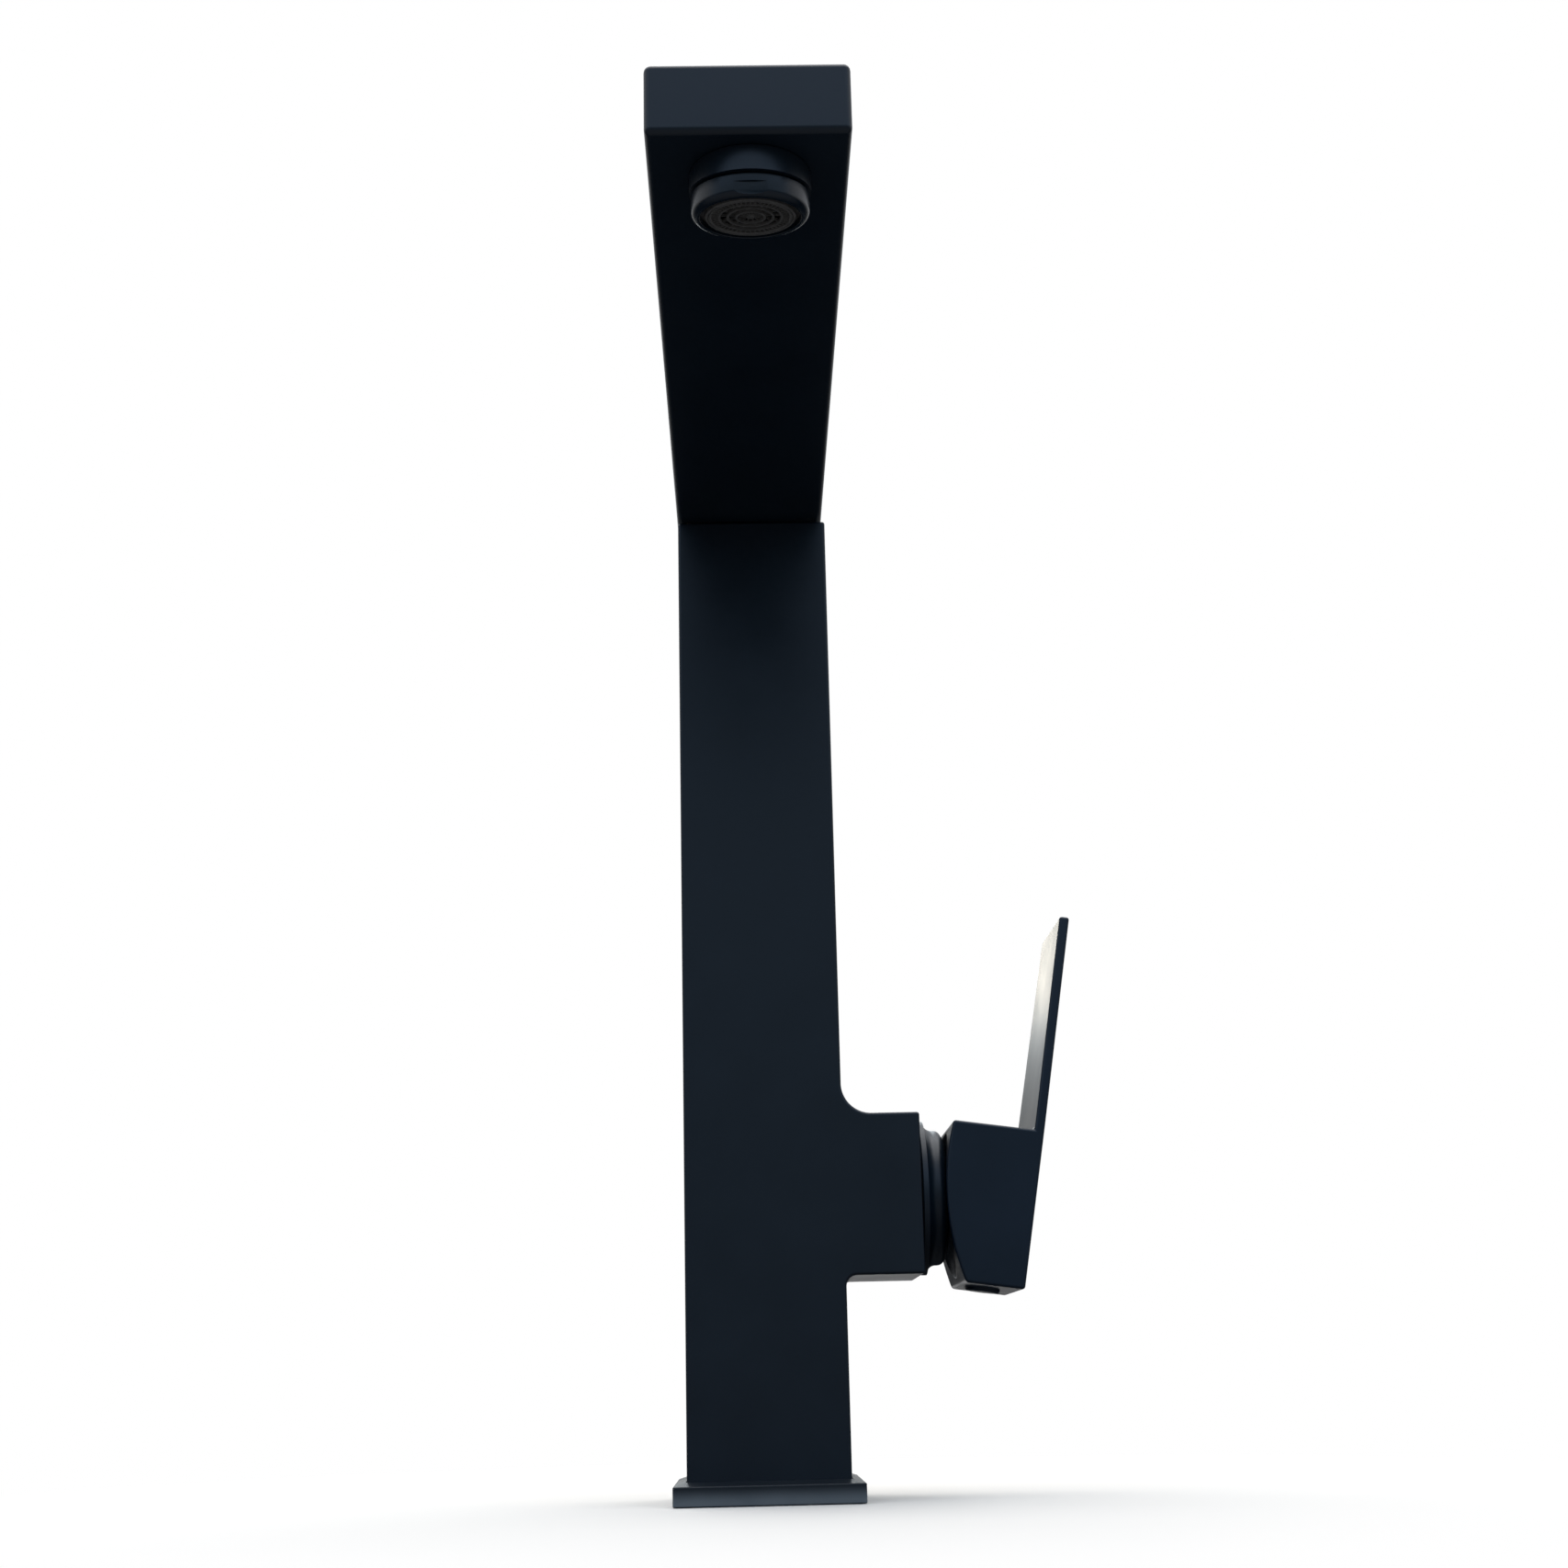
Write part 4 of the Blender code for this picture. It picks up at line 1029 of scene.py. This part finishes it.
def insert_rim():
    face, shoulder, back = INSERT_FACE, COLLAR_SHELF + FIT, COLLAR_SHELF + FIT + 0.8 * MM
    groove, middle, edge = 0.12 * MM, 9.3 * MM, 0.15 * MM
    section = [
        (11.5 * MM, back),
        (11.5 * MM, shoulder),
        (9.95 * MM, shoulder),
        (9.95 * MM, face + edge),
        (9.80 * MM, face),
        (middle + groove, face),
        (middle, face + 0.25 * MM),
        (middle - groove, face),
        (8.75 * MM, face),
        (8.60 * MM, face + edge),
        (8.60 * MM, back),
    ]
    return smooth(turned("insert_rim", section, AERATOR_AXIS, steps=96))


def joined(name, objects):
    """Puts several closed shells into one piece."""
    bm = bmesh.new()
    for obj in objects:
        bm.from_mesh(obj.data)
        bpy.data.objects.remove(obj)
    return object_from_bmesh(name, bm)


def insert_grid():
    """The grown parts, joined into one piece."""
    width = 0.55 * MM
    rings = grow("insert_rings", RINGS, Count=3, First=6.9 * MM - 2 * LANE, Step=LANE, Width=width)
    outer = grow("outer_ribs", RIBS, Count=48, From=7.0 * MM, To=8.7 * MM, Width=0.28 * MM, Depth=0.8 * MM)
    inner = grow("inner_ribs", RIBS, Count=14, From=0.8 * MM, To=7.0 * MM, Width=0.22 * MM, Depth=0.6 * MM)
    low = INSERT_FACE + 0.2 * MM
    button = bar("button", 0.95 * MM, (0.0, 0.0, low), (0.0, 0.0, low + 1.0 * MM), 24)
    button = bake(round_edges(button, 0.25 * MM, segments=2))
    button.data.transform(AERATOR_AXIS)
    raised(rings, INSERT_FACE + 0.4 * MM)
    raised(outer, INSERT_FACE + 0.65 * MM)
    raised(inner, INSERT_FACE + 0.85 * MM)
    return joined("insert_grid", [rings, outer, inner, button])


finish_piece(insert_rim(), "spout", SMOKE_PLASTIC, ["aerator_insert"])
finish_piece(smooth(insert_grid()), "spout", SMOKE_PLASTIC)

# %% [markdown]
# ## The aerator's screen
#
# Behind the insert a woven steel screen catches grit. A rule lays parallel wires: each sits at its own
# distance from the middle, and its length is the chord of the circle at that distance. The same wires
# turned by a quarter circle make the weave, and a thin ring binds their ends.

# %% Screen
def wires_rule(finish):
    rule, start, end = new_rule("wires", Count=21, Radius=0.0113, Gauge=0.0003)
    line = geo(rule, "GeometryNodeMeshLine", {"Count": start["Count"]}, Offset=(0.0, 0.0, 0.0))
    number = geo(rule, "GeometryNodeInputIndex").outputs["Index"]
    pitch = calculate(rule, "DIVIDE", calculate(rule, "MULTIPLY", start["Radius"], 2.0), start["Count"])
    half_step = calculate(rule, "MULTIPLY", pitch, 0.5)
    first = calculate(rule, "SUBTRACT", half_step, start["Radius"])
    across = calculate(rule, "ADD", first, calculate(rule, "MULTIPLY", number, pitch))
    spot = geo(rule, "ShaderNodeCombineXYZ", {"X": across})
    wires = {"Geometry": line.outputs["Mesh"], "Position": spot.outputs["Vector"]}
    spread_out = geo(rule, "GeometryNodeSetPosition", wires)
    square = calculate(rule, "MULTIPLY", start["Radius"], start["Radius"])
    rest = calculate(rule, "SUBTRACT", square, calculate(rule, "MULTIPLY", across, across))
    chord = calculate(rule, "MULTIPLY", calculate(rule, "SQRT", rest), 2.0)
    stretch = geo(rule, "ShaderNodeCombineXYZ", {"X": start["Gauge"], "Y": chord, "Z": start["Gauge"]})
    wire = geo(rule, "GeometryNodeMeshCube", Size=(1.0, 1.0, 1.0))
    wires = {
        "Points": spread_out.outputs["Geometry"],
        "Instance": wire.outputs["Mesh"],
        "Scale": stretch.outputs["Vector"],
    }
    placed = geo(rule, "GeometryNodeInstanceOnPoints", wires)
    close_rule(rule, placed.outputs["Instances"], end, finish)
    return rule


WIRES = wires_rule(SHADED_SCREEN_STEEL)
SCREEN_RADIUS = 11.4 * MM
SCREEN_HEIGHT = -6.65 * MM


def screen_weave():
    reach, gauge, half = SCREEN_RADIUS - 0.2 * MM, 0.22 * MM, 0.15 * MM
    across = grow("wires_across", WIRES, Count=23, Radius=reach, Gauge=gauge)
    along = grow("wires_along", WIRES, Count=23, Radius=reach, Gauge=gauge)
    along.data.transform(Matrix.Rotation(math.pi / 2, 4, "Z"))
    inner = SCREEN_RADIUS - 0.5 * MM
    section = [(SCREEN_RADIUS, half), (SCREEN_RADIUS, -half), (inner, -half), (inner, half)]
    binding = turned("binding", section, Matrix.Identity(4), steps=64)
    raised(binding, SCREEN_HEIGHT)
    raised(across, SCREEN_HEIGHT - 0.04 * MM)
    raised(along, SCREEN_HEIGHT + 0.04 * MM)
    return joined("screen_weave", [across, along, binding])


finish_piece(screen_weave(), "spout", SHADED_SCREEN_STEEL, ["aerator_screen"])

# %% [markdown]
# ## Threads under the tap
#
# The two hose ports and the stud hole are tapped. Seen from below, a thread is a fine spiral ridge. A rule
# sends a three-sided section up a spiral and places one at each starting point, so that both hose ports
# come from one run. The ridge's outer half lies in the brass.

# %% Threads
def threads_rule(finish):
    rule, start, end = new_rule("threads", Turns=9.0, Radius=0.0046, Pitch=0.001, Ridge=0.0003)
    height = calculate(rule, "MULTIPLY", start["Turns"], start["Pitch"])
    wires = {
        "Rotations": start["Turns"],
        "Start Radius": start["Radius"],
        "End Radius": start["Radius"],
        "Height": height,
    }
    spiral = geo(rule, "GeometryNodeCurveSpiral", wires, Resolution=28)
    section = geo(rule, "GeometryNodeCurvePrimitiveCircle", {"Radius": start["Ridge"]}, Resolution=3)
    wires = {"Curve": spiral.outputs["Curve"], "Profile Curve": section.outputs["Curve"]}
    ridge = geo(rule, "GeometryNodeCurveToMesh", wires, Fill_Caps=True)
    wires = {"Points": start["Geometry"], "Instance": ridge.outputs["Mesh"]}
    placed = geo(rule, "GeometryNodeInstanceOnPoints", wires)
    close_rule(rule, placed.outputs["Instances"], end, finish)
    return rule


THREADS = threads_rule(FINISHES["brass"])
PORT_X, PORT_Y = -6.0 * MM, 9.5 * MM
STUD_X = 11.0 * MM
THREAD_START = 0.6 * MM
HOSE_PORTS = [(PORT_X, -PORT_Y, THREAD_START), (PORT_X, PORT_Y, THREAD_START)]


def tapped(name, points, turns, radius, pitch):
    """Lines the holes at some points with a thread."""
    coil = grow(name, THREADS, points, Turns=turns, Radius=radius, Pitch=pitch, Ridge=0.3 * pitch)
    return finish_piece(smooth(coil, 50.0), "tap_body", FINISHES["brass"])


tapped("hose_threads", HOSE_PORTS, 8.5, 4.55 * MM, 1.0 * MM)
tapped("stud_thread", [(STUD_X, 0.0, THREAD_START)], 11.0, 3.35 * MM, 1.25 * MM)

# %% [markdown]
# ## The lever
#
# The lever is a flag: a thick hub over the neck and a thin blade that rises from it and narrows to its tip.
# It is drawn upright, from the pivot, and tilted into place at the end. The hub's inner face is a shallow
# arc, hollowed for the neck to enter, and a deeper pocket round the stem's boss keeps the casting light.

# %% Lever flag
HANDLE_TILT = math.radians(8.0)
STEM_TILT = math.radians(-10.0)
HUB_HALF = 22.5 * MM
TIP_HALF = 19.5 * MM
HUB_TOP = 22.1 * MM
HUB_LOW = -22.4 * MM
TIP_TOP = 85.3 * MM
HUB_BACK = 75.9 * MM
HUB_BACK_MIDDLE = (88.6 * MM, 12.5 * MM)
RECESS_RADIUS = 20.5 * MM
RECESS_DEPTH = 20.5 * MM
BLADE_INSIDE = (36.5 * MM, 38.8 * MM)  # at the hub's top and at the tip
BLADE_OUTSIDE = (37.7 * MM, 41.7 * MM)  # at the hub's low end and at the tip
POCKET_RADIUS = 17.0 * MM
POCKET_END = 34.0 * MM
BOSS_RADIUS = 7.6 * MM
SOCKET_HALF = 3.7 * MM
SCREW_X = 28.0 * MM
SCREW_HOLE = 2.6 * MM
PLUG_HOLE = 5.3 * MM
IN_PLACE = Matrix.Translation(PIVOT) @ Matrix.Rotation(HANDLE_TILT, 4, "Y")


def flag_casting():
    top = 180.0 - math.degrees(math.asin((HUB_TOP - HUB_BACK_MIDDLE[1]) / HUB_BACK))
    low = 180.0 - math.degrees(math.asin((HUB_LOW - HUB_BACK_MIDDLE[1]) / HUB_BACK))
    outline = [
        *arc(HUB_BACK_MIDDLE, HUB_BACK, top, low, 28),
        (BLADE_OUTSIDE[0], HUB_LOW),
        (BLADE_OUTSIDE[1], TIP_TOP),
        (BLADE_INSIDE[1], TIP_TOP),
        (BLADE_INSIDE[0], HUB_TOP),
    ]
    flag = upright_prism("lever_flag", outline, -HUB_HALF, HUB_HALF)
    bm = bmesh.new()
    bm.from_mesh(flag.data)
    everything = bm.verts[:] + bm.edges[:] + bm.faces[:]
    above_hub = (0.0, 0.0, HUB_TOP + 2.0 * MM)
    bmesh.ops.bisect_plane(bm, geom=everything, plane_co=above_hub, plane_no=(0.0, 0.0, 1.0))
    for vert in bm.verts:
        if vert.co.z > TIP_TOP - 0.001:
            vert.co.y *= TIP_HALF / HUB_HALF
    bm.to_mesh(flag.data)
    bm.free()
    return round_edges(flag, 0.8 * MM)


def lever_flag():
    flag = flag_casting()
    recess = bar("recess", RECESS_RADIUS, (-0.01, 0.0, 0.0), (RECESS_DEPTH, 0.0, 0.0))
    pocket = bar("pocket", POCKET_RADIUS, (RECESS_DEPTH - 0.003, 0.0, 0.0), (POCKET_END, 0.0, 0.0))
    boss = bar("boss", BOSS_RADIUS, (0.010, 0.0, 0.0), (0.045, 0.0, 0.0), sides=64)
    low, high = (-6.0 * MM, -SOCKET_HALF, -SOCKET_HALF), (31.4 * MM, SOCKET_HALF, SOCKET_HALF)
    socket = block("socket", low, high)
    lean = Matrix.Rotation(STEM_TILT - HANDLE_TILT, 4, "Y")
    boss.data.transform(lean)
    socket.data.transform(lean)
    pocket = carve(pocket, boss)
    screw_hole = bar("screw_hole", SCREW_HOLE, (SCREW_X, 0.0, -0.03), (SCREW_X, 0.0, 0.006), sides=48)
    plug_hole = bar("plug_hole", PLUG_HOLE, (SCREW_X, 0.0, -0.03), (SCREW_X, 0.0, -0.018), sides=64)
    flag = carve(flag, recess, pocket, screw_hole, plug_hole, socket)
    flag.data.transform(IN_PLACE)
    return even_shading(flag)


finish_piece(lever_flag(), "lever", LEVER_BLACK, ["lever_handle"])

# %% [markdown]
# A small domed plug closes the screw hole under the hub. It stands a millimetre proud, so that a
# fingernail can lift it.

# %% Screw plug
PLUG_RADIUS = 5.0 * MM
PLUG_BACK = -18.3 * MM


def plug():
    low, high = HUB_LOW - 1.0 * MM, PLUG_BACK
    button = bar("plug_button", PLUG_RADIUS, (SCREW_X, 0.0, low), (SCREW_X, 0.0, high), sides=64)
    button = bake(round_edges(button, 0.7 * MM, segments=5))
    button.data.transform(IN_PLACE)
    return smooth(button)


finish_piece(plug(), "lever", LEVER_BLACK, ["screw_plug"])
